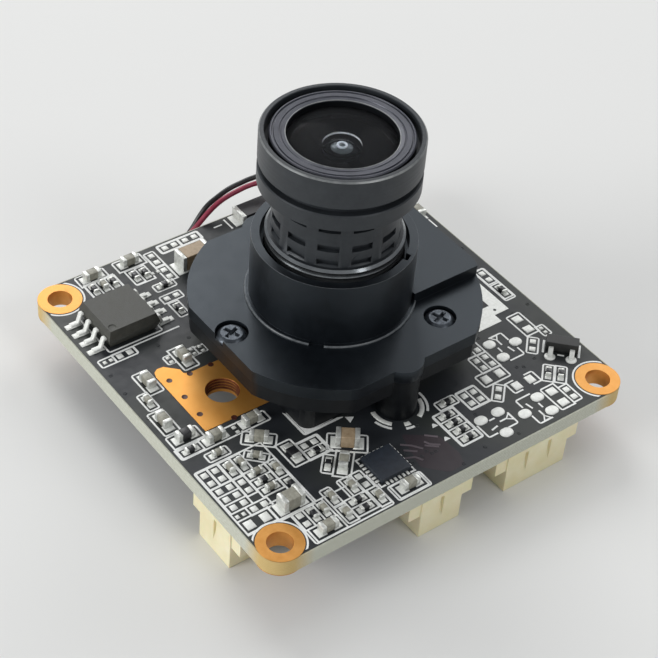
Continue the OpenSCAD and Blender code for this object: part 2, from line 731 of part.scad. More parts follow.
// Printed outline of a box given by its corners
module silk_box(box) {
    w = box[2] - box[0];
    l = box[3] - box[1];
    translate([box[0] + w / 2, box[1] + l / 2])
        difference() {
            square([w + silk_w, l + silk_w], center = true);
            square([w - silk_w, l - silk_w], center = true);
        }
}

// Printed frame round the current chip, if its size has one
module chip_frame() {
    size = $chip[3];
    if (size[6] > 0)
        silk_box([-size[6] / 2, -size[7] / 2, size[6] / 2, size[7] / 2]);
}

// Angle mark at the mount's front-left corner, with a filled inner corner
module corner_mark() {
    translate([-8.6, -8.65])
        polygon([[0, 0], [4.2, 0], [3.2, 0.4], [1.2, 0.5], [0.5, 1.2], [0.4, 2.6], [0, 3.2]]);
}

// Printed sign of an empty dual diode place: two brackets, an arrow with its stem and two dashes
module diode_mark() {
    translate([1.53, -0.83]) square([silk_w, 1.5]);
    translate([0.5, -0.83]) square([1.1, silk_w]);
    difference() {
        polygon([[1.63, 0.67], [1.63, -0.35], [0.95, 0.15]]);
        polygon([[1.5, 0.42], [1.5, -0.1], [1.15, 0.15]]);
    }
    translate([0.35, 0.1]) square([0.7, silk_w]);
    translate([-0.36, 0.67]) square([0.6, silk_w]);
    translate([-0.87, -0.31]) rotate(11) square([0.76, silk_w]);
    translate([-1.65, -0.85]) square([1, silk_w]);
    translate([-1.7, -0.85]) square([silk_w, 1.73]);
}

module silk_lines() {
    at_chips(top_chips, "RCBFU") chip_frame();
    for (b = silk_boxes) silk_box(spread_all(b));
    for (b = silk_bars)
        translate([spread(b[0]), spread(b[1])]) square([b[2], b[3]], center = true);
    for (x = [-1, 1], y = [-1, 1])
        intersection() {
            translate([x, y] * hole_pitch / 2) ring(eyelet_d / 2 + 0.1 + silk_w, eyelet_d / 2 + 0.1);
            square(board_w - 0.6, center = true);
        }
    translate(flash_place)
        silk_box([-flash_w / 2 - 0.1, -flash_w / 2 - 0.15, flash_w / 2 + 0.1, flash_w / 2 + 0.15]);
    translate(flash_place - [0.5, flash_w / 2 + 0.6]) square([4.7, silk_w]);
    translate([0, -ear_pitch / 2])
        intersection() {
            ring(ear_r + 0.95, ear_r + 0.72);
            union() {
                sector(5, 190, 224);
                sector(5, 250, 267);
                sector(5, -44, 6);
            }
        }
    translate(driver_place)
        for (a = [0:90:270])
            rotate(a) translate([-driver_w / 2 - 0.32, -driver_w / 2 - 0.32]) {
                square([0.55, silk_w]);
                square([silk_w, 0.55]);
            }
    translate(transistor_place) rotate(transistor_turn) {
        for (x = [-1.6, 1.6]) translate([x, 0]) square([0.2, 1.65], center = true);
        translate([0, -0.85]) square([0.6, silk_w], center = true);
    }
    for (d = diode_places) translate([spread(d[0]), spread(d[1])]) rotate(d[2]) diode_mark();
    for (p = [[1.3, -13.55], [1.2, -15.3]])
        translate(spread_all(p)) polygon([[-0.3, -0.25], [0.3, -0.25], [0, 0.3]]);
    corner_mark();
    difference() {
        silk_box(spread_all([9.65, -14.45, 12.7, -13.1]));
        translate(spread_all([11.17, -13.8])) square([1.2, 3], center = true);
    }
}

// Printed lines stop short of every pad, part and hole
module silkscreen() {
    pad_gap = 0.06;
    color("#e6e8e2")
        linear_extrude(silk_t)
            intersection() {
                difference() {
                    silk_lines();
                    at_chips(top_chips, "RCBFU") chip_pads(pad_gap);
                    special_pads(pad_gap);
                    copper_outline();
                    tinned_outline();
                    square(foot_w + 0.2, center = true);
                    for (s = [-1, 1]) translate([0, s * ear_pitch / 2]) circle(ear_r + 0.1);
                    for (x = [-1, 1], y = [-1, 1])
                        translate([x, y] * hole_pitch / 2) circle(eyelet_d / 2 + pad_gap);
                }
                board_outline(mask_margin + 0.1);
            }
}

// ---- Larger parts ----

module flash_chip() {
    stand = 0.12;
    mid = flash_h * 0.5;
    lean = 0.28;
    color("#2f3134")
        translate([each flash_place, stand])
            difference() {
                intersection() {
                    rotate([90, 0, 0]) translate([0, 0, -flash_w]) linear_extrude(2 * flash_w)
                        chip_section(flash_w, flash_h, mid, lean);
                    rotate([90, 0, 90]) translate([0, 0, -flash_w]) linear_extrude(2 * flash_w)
                        chip_section(flash_w, flash_h, mid, lean);
                }
                translate([-flash_w / 2 + 0.75, -flash_w / 2 + 0.75, flash_h - 0.06])
                    cylinder(h = 1, r = 0.35);
            }
}

// Side view of a moulded chip: both halves lean in from the parting line
module chip_section(w, h, mid, lean) {
    half = w / 2;
    polygon([
        [-half + lean, 0], [half - lean, 0], [half, mid], [half - lean, h], [-half + lean, h], [-half, mid],
    ]);
}

// Gull-wing lead: leaves the body at z = top and stands on its pad at z = foil_t
module gull_lead(start, reach, top, width) {
    t = 0.2;
    knee = 0.28;
    rotate([90, 0, 0]) translate([0, 0, -width / 2]) linear_extrude(width)
        polygon([
            [start, top], [start, top + t], [start + knee, top + t], [start + knee + t * 1.6, foil_t + t],
            [reach, foil_t + t], [reach, foil_t], [start + knee + t * 0.8, foil_t],
            [start + knee - t * 0.4, top],
        ]);
}

module flash_chip_leads() {
    color("#b9bab5")
        for (s = [0, 180], i = [-1.5:1.5])
            translate([each flash_place, 0]) rotate(s) translate([0, i * flash_pitch, 0])
                gull_lead(flash_w / 2, flash_w / 2 + 1.3, 0.95, 0.42);
}

module driver_chip() {
    color("#303338")
        translate([each driver_place, foil_t])
            difference() {
                translate([-driver_w / 2, -driver_w / 2, 0]) cube([driver_w, driver_w, driver_h]);
                translate([-driver_w / 2 + 0.4, driver_w / 2 - 0.4, driver_h - 0.05])
                    cylinder(h = 1, r = 0.15);
            }
}

module transistor() {
    color("#26282b")
        translate([each transistor_place, 0.1]) rotate(transistor_turn)
            rotate([90, 0, 90]) translate([0, 0, -1.45]) linear_extrude(2.9)
                chip_section(1.3, 1, 0.5, 0.08);
}

module transistor_leads() {
    color("#b9bab5")
        translate([each transistor_place, 0]) rotate(transistor_turn) {
            for (x = [-0.95, 0.95])
                translate([x, 0, 0]) rotate(-90) gull_lead(0.65, 1.3, 0.5, 0.4);
            rotate(90) gull_lead(0.65, 1.3, 0.5, 0.4);
        }
}

module processor_chip() {
    substrate = 0.35;
    color("#2b2d30")
        on_underside() translate([each processor_place, 0]) {
            translate([-processor_w / 2, -processor_w / 2, 0])
                cube([processor_w, processor_w, substrate]);
            translate([-processor_w / 2 + 0.4, -processor_w / 2 + 0.4, substrate])
                cube([processor_w - 0.8, processor_w - 0.8, processor_h - substrate]);
        }
}

module crystal_can() {
    lid_inset = 0.2;
    color("#b8bcc0")
        on_underside() translate([each crystal_place, 0]) {
            linear_extrude(0.3) rounded_rect(crystal_size[0], crystal_size[1], 0.2);
            linear_extrude(crystal_size[2])
                rounded_rect(crystal_size[0] - 2 * lid_inset, crystal_size[1] - 2 * lid_inset, 0.4);
        }
}

// Drum core between two square flanges, as a shielded coil shows it
module power_inductors() {
    plate = inductor_h * 0.25;
    color("#3a3b3e")
        on_underside() for (p = inductor_places) translate([each p, 0]) {
            linear_extrude(plate) rounded_rect(inductor_w, inductor_w, 0.4);
            cylinder(h = inductor_h, r = inductor_w * 0.4);
            translate([0, 0, inductor_h - plate]) linear_extrude(plate)
                rounded_rect(inductor_w, inductor_w, 0.8);
        }
}

// ---- Wafer sockets ----

function socket_main(contacts) = (contacts - 1) * contact_pitch + contact_end;

// Bent contact: a post in the socket and a tail on the board. y = 0 is the board's edge
module socket_contact() {
    post_y = socket_depth / 2 - pin_t / 2;
    translate([-pin_t / 2, post_y, 0]) cube([pin_t, pin_t, socket_floor + pin_reach - 0.9]);
    translate([-pin_t / 2, post_y, 0]) cube([pin_t, socket_depth - post_y + tail_l, 0.25]);
}

// Metal tab at the end of a shoulder, soldered to the board
module socket_tab(contacts) {
    end = socket_main(contacts) / 2 + shoulder_l;
    translate([end - 0.25, 1.2, 0]) cube([0.25, 1.5, 1.1]);
    translate([end - 0.25, 1.2, 0]) cube([0.85, 1.5, 0.25]);
}

// Contacts and tabs of one edge socket
module edge_socket_metal(contacts) {
    for (i = [0:contacts - 1])
        translate([(i - (contacts - 1) / 2) * contact_pitch, 0, 0]) socket_contact();
    socket_tab(contacts);
    mirror([1, 0, 0]) socket_tab(contacts);
}

// Body of an edge socket, standing on z = 0 with its mouth upwards and its long wall at y = 0
module edge_socket_body(contacts) {
    main = socket_main(contacts);
    full = main + 2 * shoulder_l;
    slots = (contacts - 1) / 2;
    difference() {
        union() {
            translate([-main / 2, 0, 0]) cube([main, socket_depth, socket_h]);
            translate([-full / 2, 0.15, 0]) cube([full, socket_depth - 0.5, shoulder_h]);
        }
        translate([-main / 2 + 0.5, socket_wall, socket_floor])
            cube([main - 1, socket_depth - 2 * socket_wall, socket_h]);
        // Window in the inner wall, for the plug's latch
        translate([-main / 6, socket_depth - socket_wall - cut, socket_h - 1.4])
            cube([main / 3, socket_wall + 2 * cut, 1.4 + cut]);
        // Mould slots in the outer wall
        for (i = [0:slots - 1])
            translate([(i - (slots - 1) / 2) * side_slot_pitch, 0, 0.4]) mould_slot();
        edge_socket_metal(contacts);
    }
}

// Shallow slot that fades out towards the mouth
module mould_slot() {
    depth = 0.3;
    rotate([90, 0, 90]) translate([0, 0, -0.18]) linear_extrude(0.36)
        polygon([[-cut, 0], [depth, 0], [depth, 1.1], [0, 2.4], [-cut, 2.4]]);
}

// Puts a socket at the front edge of the underside, centred at x
module at_front_edge(x) {
    on_underside() translate([x, -board_w / 2, 0]) children();
}

// Puts a socket at the left edge of the underside, centred at y
module at_left_edge(y) {
    on_underside() translate([-board_w / 2, y, 0]) rotate(-90) children();
}

module front_socket_small() {
    color("#e3dcb9") at_front_edge(front_small_x) edge_socket_body(small_contacts);
}

module front_socket_large() {
    color("#e3dcb9") at_front_edge(front_large_x) edge_socket_body(large_contacts);
}

module side_socket() {
    color("#e3dcb9") at_left_edge(side_small_y) edge_socket_body(small_contacts);
}

// Puts the filter socket's parts at its place: y = 0 is the closed end, +Y the mouth
module at_filter_socket() {
    on_underside() translate([filter_socket_x, filter_socket_front, 0]) children();
}

filter_main = socket_main(filter_contacts) + 1.4;
plug_w = filter_main - 1.1;
plug_h = socket_h - 1.5;

// Straight contact through the closed end, with its tail down on the board
module filter_contact() {
    mid = socket_h / 2 - pin_t / 2;
    translate([-pin_t / 2, -tail_l, mid]) cube([pin_t, filter_socket_l - 0.5, pin_t]);
    translate([-pin_t / 2, -tail_l, 0]) cube([pin_t, pin_t, mid + pin_t]);
}

module filter_socket_metal() {
    for (i = [-0.5, 0.5]) translate([i * contact_pitch, 0, 0]) filter_contact();
}

module filter_socket() {
    color("#e3dcb9")
        at_filter_socket()
            difference() {
                translate([-filter_main / 2, 0, 0]) cube([filter_main, filter_socket_l, socket_h]);
                translate([-plug_w / 2 - fit_gap, 1, (socket_h - plug_h) / 2 - fit_gap])
                    cube([plug_w + 2 * fit_gap, filter_socket_l, plug_h + 2 * fit_gap]);
                // Two latch slots in the outer wall
                for (s = [-1, 1])
                    translate([s * plug_w / 4 - 0.3, 2, socket_h - 1]) cube([0.6, filter_socket_l, 2]);
                filter_socket_metal();
            }
}

module filter_plug() {
    color("#e8e4d2")
        at_filter_socket()
            difference() {
                union() {
                    translate([-plug_w / 2, 1 + fit_gap, (socket_h - plug_h) / 2])
                        cube([plug_w, filter_socket_l + plug_tail - 1 - fit_gap, plug_h]);
                    // Latch ribs, which lie in the socket's slots
                    for (s = [-1, 1])
                        translate([s * plug_w / 4 - 0.22, 2.2, (socket_h + plug_h) / 2 - 0.01])
                            cube([0.44, filter_socket_l + plug_tail - 2.2, 0.4]);
                }
                for (i = [-0.5, 0.5])
                    translate([i * contact_pitch, 0, socket_h / 2])
                        translate([-pin_t / 2 - fit_gap, -1, -pin_t / 2 - fit_gap])
                            cube([pin_t + 2 * fit_gap, filter_socket_l, pin_t + 2 * fit_gap]);
            }
}

module socket_pins() {
    color("#c8b98a") {
        at_front_edge(front_small_x) edge_socket_metal(small_contacts);
        at_front_edge(front_large_x) edge_socket_metal(large_contacts);
        at_left_edge(side_small_y) edge_socket_metal(small_contacts);
        at_filter_socket() filter_socket_metal();
    }
}

// ---- Lens mount ----

// Flange outline: two half discs of different radius with four flats, and an ear at each end
module flange_outline(inset = 0) {
    reach = 2 * motor_side_r;
    intersection() {
        union() {
            intersection() {
                circle(flange_r - inset);
                translate([-reach, -reach]) square([reach, 2 * reach]);
            }
            intersection() {
                circle(motor_side_r - inset);
                translate([0, -reach]) square([reach, 2 * reach]);
            }
        }
        translate([-side_flat + inset, -end_flat + inset])
            square([side_flat + motor_flat - 2 * inset, 2 * (end_flat - inset)]);
    }
    for (s = [-1, 1]) translate([0, s * ear_pitch / 2]) circle(ear_r - inset);
}

// Raised hood over the motor, drawn in by inset
module hood_outline(inset = 0) {
    intersection() {
        circle(motor_side_r - inset);
        translate([hood_edge_x, -hood_front + inset])
            square([motor_flat - hood_edge_x - min(inset, flat_wall), hood_front + hood_back - 2 * inset]);
    }
}

// Bay under the hood, outside the barrel's wall
module motor_bay() {
    intersection() {
        hood_outline(hood_wall + 0.05);
        translate([motor_bay_x, -motor_side_r]) square(2 * motor_side_r);
    }
}

// Low ring at the foot of the barrel, open over a short arc
module base_ring() {
    translate([0, 0, flange_z]) linear_extrude(base_ring_h)
        difference() {
            circle(base_ring_r);
            sector(base_ring_r + 2, ring_gap_angle - 5, ring_gap_angle + 5);
        }
}

module lens_mount() {
    color("#2a2d32")
        difference() {
            union() {
                translate([0, 0, cover_z]) linear_extrude(cover_t) flange_outline();
                translate([0, 0, cover_z]) linear_extrude(cover_t + hood_h) hood_outline();
                translate([0, 0, cover_z]) cylinder(h = rim_z - cover_z, r = mount_r);
                base_ring();
            }
            translate([0, 0, cover_z - cut]) cylinder(h = rim_z - cover_z + 2 * cut, r = bore_r);
            translate([0, 0, rim_z - mouth_depth]) cylinder(h = mouth_depth + cut, r = mouth_r);
            rotate(glue_notch_angle) translate([mouth_r - 0.3, -0.4, rim_z - 0.9])
                cube([0.75, 0.8, 2]);
            translate([0, 0, cover_z - cut])
                linear_extrude(cut + cover_t + hood_h - hood_wall) motor_bay();
            for (p = cover_screw_places) translate([each p, 0]) {
                translate([0, 0, flange_z - cover_head_h - fit_gap])
                    cylinder(h = cover_head_h + cut, r = cover_head_r + cover_seat_gap);
                translate([0, 0, cover_z - cut]) cylinder(h = cover_t + cut, r = cover_screw_r + 0.1);
            }
        }
}

module cover_screws() {
    reach = cover_t - cover_head_h - fit_gap + screw_bite;
    color("#55585c")
        for (p = cover_screw_places)
            translate([each p, flange_z - cover_head_h - fit_gap])
                pan_screw(cover_head_r, cover_head_h, cover_screw_r, reach);
}

// Pocket in the tray for the sliding frame, its drive ear, the arm and the motor
module switch_pocket() {
    travel_front = frame_front - filter_pitch;
    ear_half = drive_pin_r + slot_gap + ear_rim;
    translate([-frame_half - frame_gap, travel_front - frame_gap])
        square([2 * (frame_half + frame_gap), frame_back - travel_front + 2 * frame_gap]);
    swing_half = filter_pitch / 2 + ear_half + frame_gap;
    translate([0, -swing_half]) square([rotor_x, 2 * swing_half]);
    intersection() {
        circle(motor_side_r - 2 * hood_wall);
        translate([rotor_x - yoke_inner - yoke_w - 0.2, -swing_half])
            square([2 * (yoke_inner + yoke_w), swing_half + yoke_back + 1]);
    }
}

// Posts on the tray's floor that carry the yoke, and the boss under the rotor
module motor_seats() {
    seat_r = 0.34;
    for (s = [-1, 1])
        translate([rotor_x + s * (yoke_inner + yoke_w / 2), yoke_back - seat_r, floor_z])
            cylinder(h = yoke_z - floor_z, r = seat_r);
    translate([rotor_x, 0, floor_z]) cylinder(h = arm_z - fit_gap - floor_z, r = 0.8);
}

module filter_housing() {
    color("#1e2023")
        difference() {
            union() {
                translate([0, 0, tray_z])
                    difference() {
                        linear_extrude(tray_h) flange_outline(tray_inset);
                        translate([0, 0, floor_t]) linear_extrude(tray_h) switch_pocket();
                    }
                linear_extrude(foot_h) rounded_rect(foot_w, foot_w, 1);
                for (s = [-1, 1])
                    translate([0, s * ear_pitch / 2, 0]) cylinder(h = foot_h, r = ear_r - tray_inset);
                motor_seats();
            }
            // Chamber over the sensor and the light window above it
            translate([0, 0, -cut]) linear_extrude(cut + foot_h - foot_roof)
                rounded_rect(chamber_w, chamber_w, 1);
            translate([-window_x / 2, -window_y / 2, 0]) cube([window_x, window_y, floor_z + cut]);
            // Way out for the two leads
            translate([red_route[0][0] - 2 * lead_r, yoke_back, floor_z])
                cube([black_route[0][0] - red_route[0][0] + 4 * lead_r, motor_side_r, tray_h]);
            // Pilot holes: cover screws from above, board screws from below
            for (p = cover_screw_places)
                translate([each p, cover_z - screw_bite - 0.1])
                    cylinder(h = tray_h, r = cover_screw_r + 0.02);
            for (s = [-1, 1])
                translate([0, s * ear_pitch / 2, -cut])
                    cylinder(h = cut + holder_reach + 0.3, r = holder_screw_r + 0.02);
            translate([rotor_x, 0, floor_z - 0.25]) cylinder(h = tray_h, r = shaft_r);
        }
}

module holder_screws() {
    color("#8c8f92")
        for (s = [-1, 1])
            on_underside() translate([0, s * ear_pitch / 2, 0])
                pan_screw(holder_head_r, holder_head_h, holder_screw_r, board_t + holder_reach);
}

// ---- Sensor ----

sensor_w = 8.6;
sensor_l = 7.4;
sensor_h = 0.55;
glass_h = 0.4;

module image_sensor() {
    color("#3b3c33")
        translate([-sensor_w / 2, -sensor_l / 2, 0]) cube([sensor_w, sensor_l, sensor_h]);
}

module sensor_glass() {
    color("#7d8f94", 0.5)
        translate([-sensor_w / 2 + 0.3, -sensor_l / 2 + 0.3, sensor_h])
            cube([sensor_w - 0.6, sensor_l - 0.6, glass_h]);
}

// Foam dust seal round the sensor
module sensor_gasket() {
    color("#1a1a1a")
        linear_extrude(sensor_h + glass_h + 0.2)
            difference() {
                rounded_rect(chamber_w - 0.4, chamber_w - 0.4, 0.8);
                square([sensor_w + 0.6, sensor_l + 0.6], center = true);
            }
}

// ---- Filter switch ----

// Sliding frame with a pocket for each glass and a slotted ear that the rotor drives
module filter_frame() {
    ear_half = drive_pin_r + slot_gap + ear_rim;
    ear_y = filter_pitch / 2;
    light_rim = 0.4;
    color("#26282b")
        translate([0, 0, frame_z])
            difference() {
                union() {
                    translate([-frame_half, frame_front, 0])
                        cube([2 * frame_half, frame_back - frame_front, frame_t]);
                    translate([0, ear_y - ear_half, 0]) cube([slot_far + ear_rim, 2 * ear_half, frame_t]);
                }
                for (y = [0, filter_pitch]) translate([0, y, 0]) {
                    translate([-filter_w / 2, -filter_l / 2, frame_t - filter_t])
                        cube([filter_w, filter_l, filter_t + cut]);
                    translate([-filter_w / 2 + light_rim, -filter_l / 2 + light_rim, -cut])
                        cube([filter_w - 2 * light_rim, filter_l - 2 * light_rim, 2 * cut]);
                }
                translate([slot_near, ear_y - drive_pin_r - slot_gap, -cut])
                    cube([slot_far - slot_near, 2 * (drive_pin_r + slot_gap), 2 * cut]);
            }
}

module filter_glass() {
    translate([-filter_w / 2, -filter_l / 2, frame_z + frame_t - filter_t])
        cube([filter_w, filter_l, filter_t]);
}

module infrared_filter() {
    color("#7fb7b4", 0.6) filter_glass();
}

module clear_filter() {
    color("#dfe8ea", 0.4) translate([0, filter_pitch, 0]) filter_glass();
}

module rotor_shaft() {
    color("#b5b8bb")
        translate([rotor_x, 0, floor_z - 0.25])
            cylinder(h = hood_z - hood_wall - floor_z + 0.15, r = shaft_r);
}

module rotor_magnet() {
    color("#4a4c50")
        translate([rotor_x, 0, magnet_z]) linear_extrude(magnet_h) ring(magnet_r, shaft_r + fit_gap);
}

// Arm under the magnet, with a pin that hangs into the frame's slot
module rotor_lever() {
    arm_w = 0.8;
    color("#d8d5c8")
        translate([rotor_x, 0, 0]) rotate(180 - half_swing) {
            translate([0, 0, arm_z]) linear_extrude(arm_t)
                difference() {
                    union() {
                        circle(1);
                        translate([0, -arm_w / 2]) square([arm_l, arm_w]);
                        translate([arm_l, 0]) circle(arm_w / 2);
                    }
                    circle(shaft_r + fit_gap);
                }
            translate([arm_l, 0, frame_z]) cylinder(h = arm_z - frame_z, r = drive_pin_r);
        }
}

// U-shaped yoke with a hollowed pole on each side of the magnet
module motor_yoke() {
    outer = yoke_inner + yoke_w;
    color("#9a9da1")
        translate([rotor_x, 0, yoke_z]) linear_extrude(yoke_h)
            difference() {
                translate([-outer, yoke_front]) square([2 * outer, yoke_back - yoke_front]);
                translate([-yoke_inner + 0.12, yoke_front - cut])
                    square([2 * (yoke_inner - 0.12), yoke_back - yoke_front - yoke_w + cut]);
                circle(yoke_inner);
            }
}

// Winding round the back of the yoke
module motor_coil() {
    half = yoke_inner - 0.2;
    color("#a8602c")
        translate([rotor_x - half, coil_y, yoke_z + yoke_h / 2]) rotate([0, 90, 0])
            difference() {
                cylinder(h = 2 * half, r = coil_r);
                translate([-yoke_h / 2, -yoke_w / 2, -cut]) cube([yoke_h, yoke_w, 2 * half + 2 * cut]);
            }
}

// ---- Leads ----

function unit(v) = v / norm(v);
function heading(route, i) =
    unit(route[min(i + 1, len(route) - 1)] - route[max(i - 1, 0)]);

// Ring of points round one point of a route
function route_ring(route, i, r, sides) =
    let (along = heading(route, i), side = unit(cross(along, [1, 0.4, -1.2])), up = cross(side, along))
    [for (k = [0:sides - 1]) route[i] + r * (cos(360 * k / sides) * side + sin(360 * k / sides) * up)];

// Round lead swept along a route
module lead(route, r, sides = 8) {
    rings = len(route);
    points = [for (i = [0:rings - 1]) each route_ring(route, i, r, sides)];
    walls = [
        for (i = [0:rings - 2], k = [0:sides - 1])
            let (a = i * sides + k, b = i * sides + (k + 1) % sides)
            each [[a, b, b + sides], [a, b + sides, a + sides]]
    ];
    first = [for (k = [sides - 1:-1:0]) k];
    last = [for (k = [0:sides - 1]) (rings - 1) * sides + k];
    polyhedron(points, concat(walls, [first, last]));
}

module filter_lead_red() {
    color("#b3263a") lead(red_route, lead_r);
}

module filter_lead_black() {
    color("#2a2a2e") lead(black_route, lead_r);
}

// ---- Lens ----

// Zigzag outline of the thread, from the top down
function thread_points(top, bottom, crest, depth, pitch) =
    let (turns = floor((top - bottom) / pitch))
    [for (i = [0:turns - 1]) each [
        [crest - depth, top - i * pitch],
        [crest, top - i * pitch - pitch * 0.4],
        [crest, top - i * pitch - pitch * 0.6],
    ]];

module lens_barrel() {
    rim = 0.12;
    band_edge = 0.1;
    profile = concat(
        [
            [optic_r + fit_gap, glass_seat], [ring_skirt_r + fit_gap, glass_seat],
            [ring_skirt_r + fit_gap, ring_seat], [rim_inner_r, ring_seat],
            [rim_inner_r, lens_top - rim / 2], [rim_inner_r + rim / 2, lens_top], [head_r - rim, lens_top],
            [head_r, lens_top - rim], [head_r, head_z], [groove_r, head_z - 0.1], [groove_r, groove_z],
            [band_r - band_edge, groove_z], [band_r, groove_z - band_edge], [band_r, band_z],
            [neck_r, slope_z], [neck_r, neck_z],
        ],
        thread_points(neck_z, lens_z + 0.3, thread_r, thread_depth, thread_pitch),
        [
            [thread_r - thread_depth, lens_z + 0.3], [thread_r - thread_depth - 0.3, lens_z],
            [optic_r + fit_gap, lens_z],
        ]
    );
    color("#33363b")
        difference() {
            rotate_extrude() polygon(profile);
            for (z = pocket_rows, i = [0:pocket_count - 1])
                rotate(pocket_turn + i * 360 / pocket_count)
                    translate([neck_r - pocket_depth, -pocket_w / 2, z])
                        cube([2 * pocket_depth, pocket_w, pocket_h]);
        }
}

// Ring that holds the front glass: a face with two fine grooves, and a skirt in the head
module retaining_ring() {
    face = lens_top - 0.18;
    dip = 0.12;
    outer_groove = window_r + 1.05;
    inner_groove = window_r + 0.45;
    seat = dome_z(window_r) + fit_gap;
    color("#3a3d42") rotate_extrude() polygon([
        [front_r + fit_gap, glass_seat + 0.1], [ring_skirt_r, glass_seat + 0.1],
        [ring_skirt_r, ring_seat], [ring_r, ring_seat], [ring_r, face - 0.1], [ring_r - 0.1, face],
        [outer_groove + 0.1, face], [outer_groove + 0.05, face - dip], [outer_groove - 0.05, face - dip],
        [outer_groove - 0.1, face - 0.02], [inner_groove + 0.1, face - 0.04],
        [inner_groove + 0.05, face - dip], [inner_groove - 0.05, face - dip],
        [inner_groove - 0.1, face - 0.06], [window_r + 0.05, face - 0.1], [window_r, face - 0.15],
        [window_r, seat], [front_r + fit_gap, seat],
    ]);
}

// Height of a spherical cap of the given radius of curvature, at distance x from the axis
function sag(curve, x) = curve - sqrt(curve * curve - x * x);

// Height of the front glass's upper face at distance x from the axis
function dome_z(x) = dome_edge_z + sag(dome_curve, front_r) - sag(dome_curve, x);

// Glass element turned from two spherical faces. A positive curve bulges out, 0 is flat
module element(r, z, h, upper, lower) {
    steps = 10;
    xs = [for (i = [0:steps]) r * i / steps];
    function face(curve, x) = curve == 0 ? 0 : sign(curve) * (sag(abs(curve), r) - sag(abs(curve), x));
    top = [for (x = xs) [x, z + h + face(upper, x)]];
    bottom = [for (i = [steps:-1:0]) [xs[i], z - face(lower, xs[i])]];
    rotate_extrude() polygon(concat(top, bottom));
}

// Front glass: a shallow dome above, flat below round a small deep bowl
module front_element() {
    steps = 10;
    top = [for (i = [0:steps]) let (x = front_r * i / steps) [x, dome_z(x)]];
    bowl = [
        for (i = [steps:-1:0]) let (x = bowl_r * i / steps)
            [x, glass_seat + sag(bowl_curve, bowl_r) - sag(bowl_curve, x)]
    ];
    color("#6a6f86", 0.5) rotate_extrude() polygon(concat(top, [[front_r, glass_seat]], bowl));
}

// Black disc under the flat of the front glass, open below the bowl and wider further down
module front_baffle() {
    top = glass_seat - fit_gap;
    throat = bowl_r + 0.1;
    color("#17181a")
        rotate_extrude() polygon([
            [optic_r, baffle_z], [optic_r, top], [throat, top], [throat, top - 0.4],
            [optic_r - 1.05, baffle_z + 0.5],
        ]);
}

module second_element() {
    color("#7c7fa0", 0.5) element(optic_r, second_z, second_glass_h, 12, 0);
}

module iris_plate() {
    color("#101113") translate([0, 0, iris_z]) linear_extrude(iris_t) ring(optic_r, iris_r);
}

module third_element() {
    color("#7c7fa0", 0.5) element(optic_r, third_z, third_glass_h, 0, -14);
}

module rear_spacer() {
    color("#17181a")
        translate([0, 0, rear_z + rear_glass_h]) linear_extrude(rear_spacer_h) ring(optic_r, optic_r - 0.6);
}

module rear_element() {
    color("#7c7fa0", 0.5) element(optic_r, rear_z, rear_glass_h, -20, 0);
}

module rear_ring() {
    color("#2a2c2f")
        translate([0, 0, rear_z - rear_ring_h]) linear_extrude(rear_ring_h) ring(optic_r, optic_r - 0.8);
}

circuit_board();
solder_mask();
corner_eyelets();
copper_patch();
tinned_patch();
silkscreen();
solder_pads();
resistors();
capacitors();
bulk_capacitors();
ferrite_beads();
chip_terminals();
flash_chip();
flash_chip_leads();
driver_chip();
transistor();
transistor_leads();
processor_chip();
crystal_can();
power_inductors();
front_socket_small();
front_socket_large();
side_socket();
filter_socket();
socket_pins();
filter_plug();
holder_screws();
image_sensor();
sensor_glass();
sensor_gasket();
filter_housing();
lens_mount();
cover_screws();
motor_yoke();
motor_coil();
rotor_shaft();
rotor_magnet();
rotor_lever();
filter_frame();
infrared_filter();
clear_filter();
filter_lead_red();
filter_lead_black();
lens_barrel();
retaining_ring();
front_element();
front_baffle();
second_element();
iris_plate();
third_element();
rear_spacer();
rear_element();
rear_ring();
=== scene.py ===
# Board camera module: finishes, solder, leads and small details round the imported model
import bpy
import bmesh
import json
import math
from mathutils import Matrix, Vector

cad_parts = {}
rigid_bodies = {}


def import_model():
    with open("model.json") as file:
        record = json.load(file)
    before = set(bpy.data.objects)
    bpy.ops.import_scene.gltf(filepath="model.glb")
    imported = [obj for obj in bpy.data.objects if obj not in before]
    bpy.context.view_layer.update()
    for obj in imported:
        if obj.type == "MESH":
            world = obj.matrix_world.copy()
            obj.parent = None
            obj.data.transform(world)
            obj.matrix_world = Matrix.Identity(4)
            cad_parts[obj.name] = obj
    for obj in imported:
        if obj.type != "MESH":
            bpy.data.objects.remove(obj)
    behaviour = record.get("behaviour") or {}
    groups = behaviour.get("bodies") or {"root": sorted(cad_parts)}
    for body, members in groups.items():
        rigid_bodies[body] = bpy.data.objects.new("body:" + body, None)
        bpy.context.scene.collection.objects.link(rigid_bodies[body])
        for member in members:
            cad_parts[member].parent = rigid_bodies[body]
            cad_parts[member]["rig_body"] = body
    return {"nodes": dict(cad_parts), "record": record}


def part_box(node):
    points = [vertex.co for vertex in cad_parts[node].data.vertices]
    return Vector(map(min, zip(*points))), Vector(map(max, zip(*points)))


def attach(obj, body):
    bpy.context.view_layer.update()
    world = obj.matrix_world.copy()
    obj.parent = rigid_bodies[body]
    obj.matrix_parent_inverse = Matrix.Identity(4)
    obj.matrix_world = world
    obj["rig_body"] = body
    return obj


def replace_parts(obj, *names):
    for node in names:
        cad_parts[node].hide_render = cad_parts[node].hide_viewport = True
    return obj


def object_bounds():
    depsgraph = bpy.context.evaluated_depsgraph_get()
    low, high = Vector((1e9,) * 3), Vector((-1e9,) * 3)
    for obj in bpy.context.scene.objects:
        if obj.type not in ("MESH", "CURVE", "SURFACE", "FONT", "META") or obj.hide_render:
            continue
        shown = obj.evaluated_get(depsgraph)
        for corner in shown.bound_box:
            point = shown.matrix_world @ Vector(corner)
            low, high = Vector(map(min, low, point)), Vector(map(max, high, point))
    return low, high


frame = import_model()
